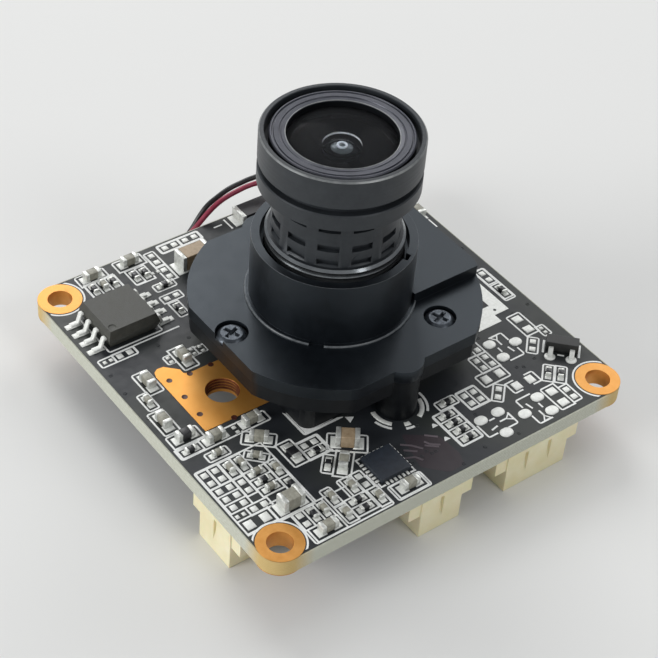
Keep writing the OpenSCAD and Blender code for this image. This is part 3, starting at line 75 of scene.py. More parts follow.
nodes = frame["nodes"]
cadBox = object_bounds()
mm = 0.001
lensTop = cadBox[1][2]  # the rim of the lens is the highest point
print("frame loaded:", len(nodes), "nodes")


def addObject(name, data):
    thing = bpy.data.objects.new(name, data)
    bpy.context.scene.collection.objects.link(thing)
    return thing


# camera, first of all; the leads were measured against what it sees

view = {
    "azimuth": -39.73,  # degrees round the lens axis, from the front
    "elevation": 42.24,
    "roll": 4.84,
    "distance": 155.69 * mm,
    "aim": (0.976 * mm, 0.871 * mm, 0),
    "lens": 95.9, "sensor": 36,  # mm
    "nearest": 0.01,  # metres, nothing closer is drawn
}


def placeCamera():
    azimuth, elevation = math.radians(view["azimuth"]), math.radians(view["elevation"])
    back = Vector((
        math.sin(azimuth) * math.cos(elevation),
        -math.cos(azimuth) * math.cos(elevation),
        math.sin(elevation),
    ))
    data = bpy.data.cameras.new("camera")
    data.lens = view["lens"]
    data.sensor_width = view["sensor"]
    data.clip_start = view["nearest"]
    camera = addObject("camera", data)
    turn = back.to_track_quat("Z", "Y").to_matrix().to_4x4()
    roll = Matrix.Rotation(math.radians(view["roll"]), 4, "Z")
    camera.matrix_world = Matrix.Translation(Vector(view["aim"]) + back * view["distance"]) @ turn @ roll
    bpy.context.scene.camera = camera


placeCamera()


# materials

def colour(hexCode):
    # sRGB hex to linear RGBA
    parts = [int(hexCode[i:i + 2], 16) / 255 for i in (1, 3, 5)]
    linear = [c / 12.92 if c <= 0.04045 else ((c + 0.055) / 1.055) ** 2.4 for c in parts]
    return (*linear, 1)


def addNode(material, kind, settings=None, links=None):
    # one node: "stops" fills a colour ramp, names of inputs set sockets, other names set the node
    node = material.node_tree.nodes.new(kind)
    for name, value in (settings or {}).items():
        if name == "stops":
            elements = node.color_ramp.elements
            while len(elements) < len(value):
                elements.new(0.5)
            for element, (place, shade) in zip(elements, value):
                element.position = place
                element.color = colour(shade)
        elif isinstance(name, int) or name in node.inputs:
            node.inputs[name].default_value = value
        else:
            setattr(node, name, value)
    for name, output in (links or {}).items():
        material.node_tree.links.new(output, node.inputs[name])
    return node


def newMaterial(name):
    material = bpy.data.materials.new(name)
    material.use_nodes = True
    material.node_tree.nodes.clear()
    return material


def addSurface(material, settings, links=None):
    surface = addNode(material, "ShaderNodeBsdfPrincipled", settings, links)
    addNode(material, "ShaderNodeOutputMaterial", {}, {"Surface": surface.outputs["BSDF"]})
    return material


bandsAtOne = 3.14
mixA, mixB, mixResult = 6, 7, 2  # sockets of a Mix node that mixes colours


def grainScale(size):
    # noise scale whose blotches are about this many metres across
    return 1 / size


def bandScale(period):
    # wave scale whose bands repeat about every this many metres: at scale 1 the node draws
    # a little over three of them to a metre
    return 1 / (bandsAtOne * period)


def finish(name, dark, light, grain, rough, bump=0.0, bumpGrain=None, **shader):
    # the common make-up of these finishes: a mottled colour, uneven gloss and a fine relief
    material = newMaterial(name)
    place = addNode(material, "ShaderNodeTexCoord").outputs["Object"]
    mottle = addNode(material, "ShaderNodeTexNoise",
                     {"Scale": grainScale(grain), "Detail": 4, "Roughness": 0.6}, {"Vector": place})
    tint = addNode(material, "ShaderNodeValToRGB", {"stops": [(0.3, dark), (0.7, light)]},
                   {"Fac": mottle.outputs["Fac"]}).outputs["Color"]
    gloss = addNode(material, "ShaderNodeMapRange",
                    {"From Min": 0.3, "From Max": 0.7, "To Min": rough[0], "To Max": rough[1]},
                    {"Value": mottle.outputs["Fac"]})
    links = {"Base Color": tint, "Roughness": gloss.outputs["Result"]}
    if bump:
        relief = addNode(material, "ShaderNodeTexNoise",
                         {"Scale": grainScale(bumpGrain or grain), "Detail": 3}, {"Vector": place})
        links["Normal"] = addNode(material, "ShaderNodeBump", {"Strength": 0.6, "Distance": bump},
                                  {"Height": relief.outputs["Fac"]}).outputs["Normal"]
    return addSurface(material, shader, links)


def laminateFinish():
    # FR-4 board, routed edge: pale grey-green resin with thin darker lines where each glass
    # cloth is cut, dry and rough, yellower in blotches
    material = newMaterial("FR-4 laminate, routed edge")
    place = addNode(material, "ShaderNodeTexCoord").outputs["Object"]
    layers = addNode(material, "ShaderNodeTexWave",
                     {"Scale": bandScale(0.2 * mm), "Distortion": 1.5, "Detail": 2,
                      "bands_direction": "Z"}, {"Vector": place})  # 0.2 mm a layer
    fibres = addNode(material, "ShaderNodeTexNoise",
                     {"Scale": grainScale(0.25 * mm), "Detail": 5, "Roughness": 0.7}, {"Vector": place})
    tint = addNode(material, "ShaderNodeValToRGB", {"stops": [(0, "#bdbfb0"), (1, "#d6d8cd")]},
                   {"Fac": layers.outputs["Fac"]})
    blotch = addNode(material, "ShaderNodeValToRGB", {"stops": [(0.3, "#b5b294"), (0.65, "#ffffff")]},
                     {"Fac": fibres.outputs["Fac"]})
    mixed = addNode(material, "ShaderNodeMix",
                    {"data_type": "RGBA", "blend_type": "MULTIPLY", "Factor": 0.35},
                    {mixA: tint.outputs["Color"], mixB: blotch.outputs["Color"]})
    relief = addNode(material, "ShaderNodeBump", {"Strength": 0.5, "Distance": 0.02 * mm},
                     {"Height": fibres.outputs["Fac"]})
    # the resin beside a plated corner hole takes on its orange: far out on both x and y
    bits = addNode(material, "ShaderNodeSeparateXYZ", {}, {"Vector": place})
    away = [addNode(material, "ShaderNodeMath", {"operation": "ABSOLUTE"}, {0: bits.outputs[axis]})
            for axis in "XY"]
    corner = addNode(material, "ShaderNodeMath", {"operation": "ADD"},
                     {0: away[0].outputs["Value"], 1: away[1].outputs["Value"]})
    glow = addNode(material, "ShaderNodeMapRange", {"From Min": 34 * mm, "From Max": 36 * mm, "To Max": 0.75},
                   {"Value": corner.outputs["Value"]})
    warm = addNode(material, "ShaderNodeMix",
                   {"data_type": "RGBA", "blend_type": "MIX", mixB: colour("#cfa94e")},
                   {0: glow.outputs["Result"], mixA: mixed.outputs[mixResult]})
    return addSurface(material, {"Roughness": 0.7},
                      {"Base Color": warm.outputs[mixResult], "Normal": relief.outputs["Normal"]})


def maskFinish(name, dark, light):
    # Epoxy solder mask, satin: the weave of the glass cloth below stands in its face as a very
    # faint 1 mm grid, with wider waves where the ink has flowed and set unevenly
    material = newMaterial(name)
    place = addNode(material, "ShaderNodeTexCoord").outputs["Object"]
    pour = addNode(material, "ShaderNodeTexNoise",
                   {"Scale": grainScale(7 * mm), "Detail": 1}, {"Vector": place})
    tint = addNode(material, "ShaderNodeValToRGB", {"stops": [(0.42, dark), (0.62, light)]},
                   {"Fac": pour.outputs["Fac"]})
    weave = [
        addNode(material, "ShaderNodeTexWave",
                {"Scale": bandScale(1 * mm), "Distortion": 0.6, "bands_direction": axis},
                {"Vector": place})
        for axis in "XY"
    ]
    cloth = addNode(material, "ShaderNodeMath", {"operation": "ADD"},
                    {0: weave[0].outputs["Fac"], 1: weave[1].outputs["Fac"]})
    flow = addNode(material, "ShaderNodeTexNoise",
                   {"Scale": grainScale(0.8 * mm), "Detail": 4}, {"Vector": place})
    gloss = addNode(material, "ShaderNodeMapRange",
                    {"From Min": 0.3, "From Max": 0.7, "To Min": 0.36, "To Max": 0.48},
                    {"Value": flow.outputs["Fac"]})
    low = addNode(material, "ShaderNodeBump", {"Strength": 0.35, "Distance": 0.004 * mm},
                  {"Height": cloth.outputs["Value"]})
    relief = addNode(material, "ShaderNodeBump", {"Strength": 0.5, "Distance": 0.02 * mm},
                     {"Height": flow.outputs["Fac"], "Normal": low.outputs["Normal"]})
    return addSurface(material, {"Specular IOR Level": 0.32},
                      {"Base Color": tint.outputs["Color"], "Roughness": gloss.outputs["Result"],
                       "Normal": relief.outputs["Normal"]})


def turnedFinish(name, dark, light, rough, spacing, blackBelow=None, **shader):
    # Black anodised aluminium, turned: dark grey dye with fine lathe rings round the lens axis.
    # Below blackBelow the colour turns black
    material = newMaterial(name)
    place = addNode(material, "ShaderNodeTexCoord").outputs["Object"]
    bits = addNode(material, "ShaderNodeSeparateXYZ", {}, {"Vector": place})
    flat = addNode(material, "ShaderNodeCombineXYZ", {}, {"X": bits.outputs["X"], "Y": bits.outputs["Y"]})
    radius = addNode(material, "ShaderNodeVectorMath", {"operation": "LENGTH"}, {0: flat.outputs["Vector"]})
    # one lathe coordinate: distance from the axis plus height, so faces and walls both get rings
    along = addNode(material, "ShaderNodeMath", {"operation": "ADD"},
                    {0: radius.outputs["Value"], 1: bits.outputs["Z"]})
    rings = addNode(material, "ShaderNodeTexNoise",
                    {"noise_dimensions": "1D", "Scale": grainScale(spacing), "Detail": 2},
                    {"W": along.outputs["Value"]})
    cloud = addNode(material, "ShaderNodeTexNoise",
                    {"Scale": grainScale(1.2 * mm), "Detail": 6, "Roughness": 0.7}, {"Vector": place})
    tint = addNode(material, "ShaderNodeValToRGB", {"stops": [(0.3, dark), (0.7, light)]},
                   {"Fac": cloud.outputs["Fac"]}).outputs["Color"]
    if blackBelow is not None:
        deep = addNode(material, "ShaderNodeMapRange",
                       {"From Min": blackBelow - 0.03 * mm, "From Max": blackBelow},
                       {"Value": bits.outputs["Z"]})
        tint = addNode(material, "ShaderNodeMix", {"data_type": "RGBA", mixA: colour("#15171a")},
                       {0: deep.outputs["Result"], mixB: tint}).outputs[mixResult]
    gloss = addNode(material, "ShaderNodeMapRange",
                    {"From Min": 0.25, "From Max": 0.75, "To Min": rough[0], "To Max": rough[1]},
                    {"Value": rings.outputs["Fac"]})
    relief = addNode(material, "ShaderNodeBump", {"Strength": 0.35, "Distance": 0.006 * mm},
                     {"Height": rings.outputs["Fac"]})
    return addSurface(material, {"Metallic": 0.3, **shader},
                      {"Base Color": tint, "Roughness": gloss.outputs["Result"],
                       "Normal": relief.outputs["Normal"]})


def glassFinish(name, tint, ior, coating="#383c42", clear=1.0):
    # Polished optical glass with an anti-reflection coating, so little of the room shows in it:
    # the coating is the colour of what it still sends back, and clear is below 1 where it hazes
    material = newMaterial(name)
    return addSurface(material, {"Base Color": colour(tint), "IOR": ior, "Roughness": 0.0,
                                 "Transmission Weight": clear, "Specular Tint": colour(coating)})


materials = {
    "fr4": laminateFinish(),
    "mask": maskFinish("black solder mask, satin", "#2a2d31", "#343735"),
    # The same ink, thin on the crown of a track: the copper lifts it to a purplish grey
    "mask_on_track": maskFinish("black solder mask, thin over tracks", "#5c5459", "#6f666b"),
    # The same ink over wide copper: a brownish purple cast
    "mask_on_copper": maskFinish("black solder mask over copper", "#342d32", "#443c3f"),
    # Copper plating under an organic coat: warm orange, bright but not mirror-like
    "gold_plate": finish("plated copper ring", "#cf8f42", "#dfa358", 1.2 * mm, (0.36, 0.46),
                         0.004 * mm, 0.15 * mm, Metallic=0.6),
    # Rolled and etched copper foil: a soft orange sheen, a shade deeper here and there
    "bare_copper": finish("bare copper foil", "#dd963f", "#eaac5a", 5 * mm, (0.34, 0.44),
                          0.003 * mm, 0.2 * mm, Metallic=0.6),
    # Reflowed tin solder: whitish, uneven gloss
    "tin": finish("tinned copper, reflowed", "#e2e4de", "#f7f8f4", 0.25 * mm, (0.35, 0.52),
                  0.02 * mm, 0.12 * mm, Metallic=0.15),
    # Nickel and tin over the ends of a chip, barrel plated: satin silver
    "plated_end": finish("plated chip end", "#c9cac4", "#eceee9", 0.3 * mm, (0.28, 0.42),
                         0.012 * mm, 0.15 * mm, Metallic=0.5),
    # Resin in a plated via, stained by the copper: dark red-brown
    "via_brown": finish("filled via", "#3a160c", "#4e2012", 0.3 * mm, (0.3, 0.45)),
    # The wall of a screw hole: brown copper, darker than the bare foil
    "brown_copper": finish("dark brown copper", "#6e3a20", "#9c5c3a", 0.4 * mm, (0.3, 0.45),
                           0.01 * mm, 0.15 * mm, Metallic=0.6),
    # Epoxy legend ink, screen printed: flat white, slightly translucent where thin
    "legend": finish("white legend ink", "#eceeea", "#fbfcfa", 0.3 * mm, (0.5, 0.65),
                     0.004 * mm, 0.1 * mm),
    # Glazed resistor film: near-black, glossy
    "resistor_film": finish("resistor glaze, black", "#1b1c1e", "#2b2c2f", 0.3 * mm, (0.25, 0.4),
                            0.01 * mm, 0.2 * mm),
    # Fired multilayer ceramic, grey-brown, eggshell gloss
    "capacitor_grey": finish("capacitor ceramic, grey-brown", "#87857a", "#a8a698", 0.3 * mm, (0.35, 0.5),
                             0.01 * mm, 0.1 * mm),
    # Fired multilayer ceramic of the large values, tan with a pink cast
    "capacitor_tan": finish("capacitor ceramic, tan", "#9a8468", "#b9a488", 0.5 * mm, (0.35, 0.5),
                            0.01 * mm, 0.12 * mm),
    # Sintered ferrite, charcoal and slightly shiny
    "ferrite": finish("sintered ferrite", "#242424", "#37363a", 0.3 * mm, (0.35, 0.5), 0.01 * mm, 0.1 * mm),
    # Transfer-moulded epoxy, spark-eroded mould: fine grain, matt charcoal
    "chip_epoxy": finish("moulded chip epoxy", "#232425", "#30312f", 0.35 * mm, (0.45, 0.58),
                         0.02 * mm, 0.09 * mm),
    # The same, from a polished mould and darker, with a blue cast
    "chip_epoxy_blue": finish("moulded chip epoxy, smooth", "#1c222b", "#262e39", 0.5 * mm, (0.38, 0.5),
                              0.01 * mm, 0.09 * mm),
    # The same, filled with more silica: olive grey
    "chip_epoxy_olive": finish("moulded chip epoxy, olive", "#3a3b36", "#4a4a44", 0.4 * mm, (0.45, 0.58),
                               0.02 * mm, 0.09 * mm),
    # Moulded nylon, undyed: ivory, waxy, light goes a little way in
    "socket_ivory": finish("ivory nylon, moulded", "#ece2b6", "#f5edcb", 2 * mm, (0.38, 0.5),
                           0.012 * mm, 0.3 * mm, **{"Subsurface Weight": 0.15, "Subsurface Scale": 0.4 * mm}),
    # Tin over brass, drawn pin: bright, with a yellow cast
    "contact": finish("tinned brass contact", "#b9ab80", "#d8cda6", 0.4 * mm, (0.25, 0.35), Metallic=0.9),
    # Glass-filled black polyester: a fine dull sheen
    "housing_black": finish("black polyester, moulded", "#0c0e11", "#14171a", 1 * mm, (0.38, 0.48),
                            0.01 * mm, 0.12 * mm, **{"Specular IOR Level": 0.3}),
    # The same plastic from a smoother mould, with a broad bluish sheen and fine grain
    "cover_black": finish("black polyester, smooth moulded", "#080a0d", "#0e1115", 1.2 * mm, (0.33, 0.41),
                          0.008 * mm, 0.1 * mm,
                          **{"Specular IOR Level": 0.6, "Specular Tint": colour("#d4e4f2")}),
    # Painted highlight for its edges: greyer and glossy, standing in for the light they catch
    "cover_painted_highlight": finish("black polyester, painted edge highlight", "#4a4e51", "#6a6e71", 0.6 * mm, (0.25, 0.35)),
    # Black zinc on steel: dark and glossy
    "screw_steel": finish("black zinc steel screw", "#3a3e44", "#60666d", 0.4 * mm, (0.25, 0.4),
                          0.006 * mm, 0.1 * mm, Metallic=0.8),
    # Bright zinc on steel: pale grey and shiny
    "screw_zinc": finish("zinc-plated steel screw", "#8d8f92", "#b3b5b7", 0.4 * mm, (0.25, 0.4),
                         Metallic=0.95),
    # Silicon in a ceramic frame: dark olive grey, smooth
    "sensor_body": finish("sensor silicon and ceramic", "#2c2f2a", "#3f4138", 1 * mm, (0.3, 0.4)),
    # Thin flat cover glass, a trace of green
    "sensor_window": glassFinish("sensor cover glass", "#dfe8e6", 1.5),
    # Foam rubber: dull black, its pores a fine rough grain
    "foam": finish("black foam rubber", "#0c0c0c", "#1b1b1b", 0.3 * mm, (0.8, 0.95), 0.05 * mm, 0.2 * mm),
    # Pressed steel sheet under nickel: an even grey sheen
    "yoke_steel": finish("nickel-plated steel sheet", "#8e9093", "#b0b2b5", 1 * mm, (0.25, 0.4),
                         Metallic=0.95),
    # Copper wire under clear enamel: brown-orange, broken up as finely as its turns
    "winding": finish("enamelled copper wire", "#7a3d17", "#b0622b", 0.15 * mm, (0.25, 0.35),
                      0.03 * mm, 0.08 * mm, Metallic=0.6),
    # Magnet powder in resin: dull graphite grey
    "magnet": finish("bonded magnet", "#3c3d40", "#505256", 0.3 * mm, (0.45, 0.6), Metallic=0.5),
    # Undyed acetal: off-white, soft gloss
    "lever_plastic": finish("white acetal", "#d8d5c9", "#e8e6dc", 1 * mm, (0.3, 0.4)),
    # Blue-green glass that stops infrared, and the plain glass beside it
    "ir_glass": glassFinish("infrared filter glass", "#9fd2cc", 1.52),
    "clear_glass": glassFinish("clear filter glass", "#eef4f4", 1.52),
    # Soft PVC wire coat: crimson and black, slightly glossy
    "lead_red": finish("red PVC wire coat", "#8a2a40", "#a03a52", 1 * mm, (0.3, 0.4), 0.01 * mm, 0.4 * mm),
    "lead_black": finish("black PVC wire coat", "#19191b", "#262628", 1 * mm, (0.3, 0.4),
                         0.01 * mm, 0.4 * mm),
    # Turned aluminium, dyed black: dark grey satin with lathe rings
    "lens_black": turnedFinish("black anodised aluminium, turned", "#2a2e32", "#34383c", (0.36, 0.5),
                               0.12 * mm),
    # Painted highlight for its edges: a pale grey metal standing in for the light they catch
    "lens_painted_highlight": turnedFinish("anodised aluminium, painted edge highlight", "#6c6f71", "#9a9c9b", (0.34, 0.46),
                              0.12 * mm, Metallic=0.5),
    # Flanks of the cut thread, painted pale grey and glossy as a highlight
    "thread_painted_highlight": turnedFinish("anodised aluminium, thread flank, painted highlight", "#6c7074", "#94989a", (0.12, 0.22),
                                0.12 * mm, Metallic=0.85),
    # Its crests and roots, painted black as shade
    "thread_painted_shade": turnedFinish("anodised aluminium, thread crest and root", "#0a0b0d", "#121316",
                              (0.3, 0.45), 0.12 * mm),
    # The retaining ring, from another dye bath: a bluish grey, black low in its bore
    "ring_black": turnedFinish("black anodised ring, turned", "#3a3c45", "#4a4c55", (0.3, 0.42), 0.09 * mm,
                               blackBelow=lensTop - 0.36 * mm),
    # Flat black paint inside the lens, against stray light
    "lens_inner_black": finish("blackened lens mounting", "#0b0c0d", "#101112", 0.5 * mm, (0.7, 0.85),
                               **{"Specular IOR Level": 0.15}),
    # Black ink on the ground back of the front glass: swallows what comes through
    "glass_ink": finish("black lens ink", "#030304", "#050506", 2 * mm, (0.6, 0.75),
                        **{"Specular IOR Level": 0.05}),
    # Painted glint: near-white and glossy, standing in for the light a polished glass edge catches
    "glass_painted_glint": finish("painted glass-edge glint", "#f8fafa", "#ffffff", 0.5 * mm, (0.2, 0.3)),
    # Polished face of an inner element, made opaque: its grey-green is a painted reflection standing in for
    # the glass, and it is smooth enough to show the lamps
    "inner_glass_painted_reflection": finish("inner glass, painted reflection", "#3f4644", "#4e5553", 0.5 * mm, (0.12, 0.18)),
    # Coated so well that no lamp shows in it. Its index is near 1 for that, so it hardly bends
    # light, and what lies behind it is set at the height where real glass would show it
    "front_glass": glassFinish("front lens glass, coated", "#e4e8ee", 1.05, clear=0.982),
    # Inner elements: clear with a violet cast
    "lens_glass": glassFinish("inner lens glass, coated", "#b9b4d2", 1.6),
}

slotOf = {row["node"]: row["material_slot"] for row in frame["record"]["subparts"]}
finishOf = {  # where one slot covers finishes that look different
    "chip_terminals": "plated_end", "driver_chip": "chip_epoxy_blue", "flash_chip": "chip_epoxy_olive",
}
for name, node in nodes.items():
    node.data.materials.clear()
    node.data.materials.append(materials[finishOf.get(name, slotOf[name])])
print("finishes made:", len(materials))


# making pieces

making = {
    "weld": 1e-6, "spinWeld": 1e-7,  # metres: corners closer than this become one
    "flat": 0.5,  # degrees between faces that are joined up
    "sharp": 30,  # degrees between faces whose edge is rounded
    "cap": 0.99, "levelFace": 0.97,  # least upward lean of a plug's cap, and of a level face
}


def placePiece(name, data, body="board"):
    piece = addObject(name, data)
    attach(piece, body)
    return piece


def fromBmesh(name, bm, slot, body="board", smoothUnder=35, finishName=None):
    mesh = bpy.data.meshes.new(name)
    bm.to_mesh(mesh)
    bm.free()
    mesh.polygons.foreach_set("use_smooth", [True] * len(mesh.polygons))
    mesh.set_sharp_from_angle(angle=math.radians(smoothUnder))
    mesh.materials.append(materials[finishName or slot])
    return placePiece(name, mesh, body)


def mergedCopy(nodeName):
    # a node's triangles, welded, with the flat faces joined up again
    bm = bmesh.new()
    bm.from_mesh(nodes[nodeName].data)
    bmesh.ops.remove_doubles(bm, verts=bm.verts, dist=making["weld"])
    bmesh.ops.dissolve_limit(bm, angle_limit=math.radians(making["flat"]), verts=bm.verts,
                             edges=bm.edges)
    return bm


def sharpEdges(bm):
    least = math.radians(making["sharp"])
    return [e for e in bm.edges if len(e.link_faces) == 2 and e.calc_face_angle(0) > least]


def spinRound(bm, geom, steps, centre=(0, 0, 0)):
    # a section spun the whole way round an upright axis
    bmesh.ops.spin(bm, geom=geom, axis=(0, 0, 1), cent=centre, angle=math.radians(360), steps=steps,
                   use_merge=True)
    bmesh.ops.remove_doubles(bm, verts=bm.verts, dist=making["spinWeld"])
    bmesh.ops.recalc_face_normals(bm, faces=bm.faces)


def raiseField(bm, outline, low, thickness):
    # a flat closed field from its outline in millimetres
    field = bm.faces.new([bm.verts.new((x * mm, y * mm, low)) for x, y in outline])
    lifted = bmesh.ops.extrude_face_region(bm, geom=[field])
    top = [v for v in lifted["geom"] if isinstance(v, bmesh.types.BMVert)]
    bmesh.ops.translate(bm, verts=top, vec=(0, 0, thickness))
    bmesh.ops.recalc_face_normals(bm, faces=bm.faces)


def dimpledPlugs(places, height, via):
    # a low cone at each place, with a dimple in its cap
    bm = bmesh.new()
    for x, y in places:
        plug = bmesh.ops.create_cone(bm, cap_ends=True, segments=via["segments"],
                                     radius1=via["radius"] * mm,
                                     radius2=via["radius"] * via["taper"] * mm,
                                     depth=via["depth"] * mm)
        bmesh.ops.translate(bm, verts=plug["verts"], vec=(x * mm, y * mm, height))
    caps = [f for f in bm.faces if f.normal.z > making["cap"]]
    bmesh.ops.inset_individual(bm, faces=caps, thickness=via["rim"] * mm)
    for face in caps:
        bmesh.ops.translate(bm, verts=face.verts, vec=(0, 0, -via["dimple"] * mm))
    return bm


# leads

leads = {
    "diameter": 0.5 * mm,
    "round": 6, "smooth": 8,  # steps round half the wire, and along it from point to point
    # metres, the shortest cord that can be declared: the red one takes it, with 29.9 mm from point
    # to point and a little more along its curve
    "least": 0.03,
    "red": [
        (9.3, 4.4, 3.75), (9.3, 6, 3.75), (9.3, 7.8, 3.7), (9.3, 9.4, 3.65), (9.2, 11.2, 3.5),
        (9.1, 13, 3.3), (8.8, 14.8, 3), (8.2, 16.6, 2.75), (7.3, 18.1, 2.5), (6.2, 19.1, 2.3),
        (5, 19.4, 2.2), (3.7, 19.4, 2.1), (2.5, 19.4, 1.9), (1.4, 19.4, 1.5), (0.4, 19.4, 0.85),
        (-0.6, 19.4, 0), (-1.7, 19.45, -0.95), (-2.9, 19.5, -1.75), (-3.85, 19.5, -2.6),
        (-4.2, 19.2, -3.4), (-3.95, 18.6, -3.85), (-3.625, 17.8, -3.65),
    ],
    "black": [
        (10.1, 4.4, 3.75), (10.1, 6, 3.75), (10.1, 7.8, 3.7), (10.1, 9.6, 3.65), (10, 11.6, 3.55),
        (9.9, 13.6, 3.4), (9.7, 15.5, 3.2), (9.2, 17.3, 2.95), (8.3, 18.9, 2.6), (7.1, 19.8, 2.4),
        (5.8, 20.1, 2.3), (4.5, 20.1, 2.25), (3.2, 20.1, 2.1), (1.9, 20.1, 1.65), (0.8, 20.1, 1.1),
        (0, 20.1, 0.3), (-0.8, 20.1, -0.8), (-1.5, 20.2, -1.9), (-2.1, 19.9, -2.9),
        (-2.35, 19.2, -3.5), (-2.375, 18.5, -3.65), (-2.375, 17.8, -3.65),
    ],
}


def makeLead(name, route, slot, replaced):
    curve = bpy.data.curves.new(name, "CURVE")
    curve.dimensions = "3D"
    curve.bevel_depth = leads["diameter"] / 2
    curve.bevel_resolution = leads["round"]
    curve.resolution_u = leads["smooth"]
    curve.use_fill_caps = True
    spline = curve.splines.new("BEZIER")
    spline.bezier_points.add(len(route) - 1)
    for point, place in zip(spline.bezier_points, route):
        point.co = Vector(place) * mm
        point.handle_left_type = point.handle_right_type = "AUTO"
    curve.materials.append(materials[slot])
    lead = placePiece(name, curve)
    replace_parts(lead, replaced)


makeLead("red_lead", leads["red"], "lead_red", "filter_lead_red")
makeLead("black_lead", leads["black"], "lead_black", "filter_lead_black")
print("leads laid")


# rounded copies of the moulded and pressed pieces

rounded = {
    # node: edge radius in mm, segments
    "circuit_board": (0.03, 1),
    "front_socket_small": (0.09, 2),
    "front_socket_large": (0.09, 2),
    "side_socket": (0.09, 2),
    "filter_socket": (0.09, 2),
    "flash_chip": (0.05, 2),
    "driver_chip": (0.04, 2),
    "transistor": (0.05, 2),
    "processor_chip": (0.06, 2),
    "capacitors": (0.045, 2),
    "bulk_capacitors": (0.07, 2),
    "resistors": (0.03, 2),
    "ferrite_beads": (0.05, 2),
    "chip_terminals": (0.05, 2),
    "flash_chip_leads": (0.08, 2),
    "transistor_leads": (0.05, 2),
    "lens_mount": (0.1, 2),
    "filter_housing": (0.08, 1),
    "cover_screws": (0.05, 1),
    "corner_eyelets": (0.1, 3),
    "lens_barrel": (0, 0),
}
roundedFirst = {  # edges with a rounding of their own: low, high, inner, outer, size in mm
    "lens_mount": [(5.9, 6, 7.3, 7.6, 0.2)],
    "lens_barrel": [(13, 23, 5.2, 7, 0.04)],
}
thickened = {"flash_chip_leads": 0.06, "transistor_leads": 0.03}  # mm all round
paintedLight = {
    # node: finishes that paint highlights on its edges and thread flanks and shade on the thread's crests and
    # roots, and the zones they lie in: low, high, inner and outer in mm, and the least upward lean of the
    # faces that take it
    "lens_mount": {"cover_painted_highlight": [(11.8, 12.1, 6.8, 7.2, 0.15), (5.72, 6, 7.2, 7.6, 0.15)]},
    "lens_barrel": {
        "lens_painted_highlight": [(22.4, 22.6, 6.6, 6.9, 0.15)],
        "thread_painted_shade": [(6.5, 12.9, 5.6, 6, 0)],
        "thread_painted_highlight": [(6.5, 12.9, 5.6, 6, 0.15)],
    },
}


def bevelEdges(bm, edges, size, segments):
    bmesh.ops.bevel(bm, geom=edges, offset=size, offset_type="OFFSET", segments=segments, profile=0.5,
                    affect="EDGES", material=-1, clamp_overlap=True)


def roundNode(nodeName, radius, segments):
    bm = mergedCopy(nodeName)
    if nodeName in thickened:  # solder wets the leads and makes them fuller
        bm.normal_update()
        for vert in bm.verts:
            bmesh.ops.translate(bm, verts=[vert], vec=vert.normal * thickened[nodeName] * mm)
    for low, high, inner, outer, size in roundedFirst.get(nodeName, []):
        edges = [e for e in sharpEdges(bm)
                 if all(low < v.co.z / mm < high and inner < v.co.xy.length / mm < outer for v in e.verts)]
        bevelEdges(bm, edges, size * mm, segments=4)
    if radius:
        bevelEdges(bm, sharpEdges(bm), radius * mm, segments)
    piece = fromBmesh(nodeName + "_rounded", bm, slotOf[nodeName], nodes[nodeName]["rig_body"],
                      finishName=finishOf.get(nodeName))
    level = piece.modifiers.new("level", "WEIGHTED_NORMAL")  # keeps the large faces flat
    level.keep_sharp = True
    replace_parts(piece, nodeName)
    return piece


def paintLightZones(piece, zones, finishName):
    # faces inside the zones get a finish of their own, a painted highlight or painted shade; level faces
    # never do
    piece.data.materials.append(materials[finishName])
    index = len(piece.data.materials) - 1
    for face in piece.data.polygons:
        height, away = face.center.z / mm, face.center.xy.length / mm
        for low, high, inner, outer, lean in zones:
            leaning = lean <= abs(face.normal.z) < making["levelFace"]
            if leaning and low < height < high and inner < away < outer:
                face.material_index = index


for nodeName, (radius, segments) in rounded.items():
    piece = roundNode(nodeName, radius, segments)
    # painted highlights and painted shade on the listed zones
    for finishName, zones in paintedLight.get(nodeName, {}).items():
        paintLightZones(piece, zones, finishName)
print("rounded copies made")


# printed legend, with the round corners that ink and screen give

legend = {
    "radius": 0.26, "longEnough": 0.62,  # mm: corner radius, shortest side that gets it
    "upright": 0.7,  # share of its length that a corner's edge rises
}


def roundLegend():
    bm = mergedCopy("silkscreen")
    corners = [
        e for e in sharpEdges(bm)
        if abs(e.verts[0].co.z - e.verts[1].co.z) > legend["upright"] * e.calc_length()
        and e.is_convex
        and min(f.calc_area() for f in e.link_faces) > legend["longEnough"] * mm * e.calc_length()
    ]
    bevelEdges(bm, corners, legend["radius"] * mm, segments=3)
    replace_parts(fromBmesh("legend_print", bm, "legend"), "silkscreen")


roundLegend()
print("legend made")


# solder on the pads

solder = {
    "inset": 0.12, "height": 0.07,  # mm: width of the rounded rim, rise of the middle
    "steps": [(0.3, 0.6), (0.7, 0.4)],  # share of the inset and of the rise, rim first
    "level": 0.005,  # mm, how far from the outermost height a pad's face may lie
    "facing": 0.9,  # least upward or downward lean of such a face
}


def solderPillows():
    # each pad's outer face, above the board or below it, drawn in twice and lifted to a low pillow
    bm = mergedCopy("solder_pads")
    tops = [f for f in bm.faces if abs(f.normal.z) > solder["facing"]]
    highest = max(f.calc_center_median().z for f in tops)
    lowest = min(f.calc_center_median().z for f in tops)
    outer = [f for f in tops
             if abs(f.calc_center_median().z - highest) < solder["level"] * mm
             or abs(f.calc_center_median().z - lowest) < solder["level"] * mm]
    for share, rise in solder["steps"]:
        bmesh.ops.inset_individual(bm, faces=outer, thickness=solder["inset"] * share * mm,
                                   use_even_offset=True)
        for face in outer:
            bmesh.ops.translate(bm, verts=face.verts, vec=face.normal * solder["height"] * rise * mm)
    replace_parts(fromBmesh("solder_pillows", bm, "tin", smoothUnder=80), "solder_pads")


solderPillows()
print("solder made")


# traces, filled vias and wide copper under the mask

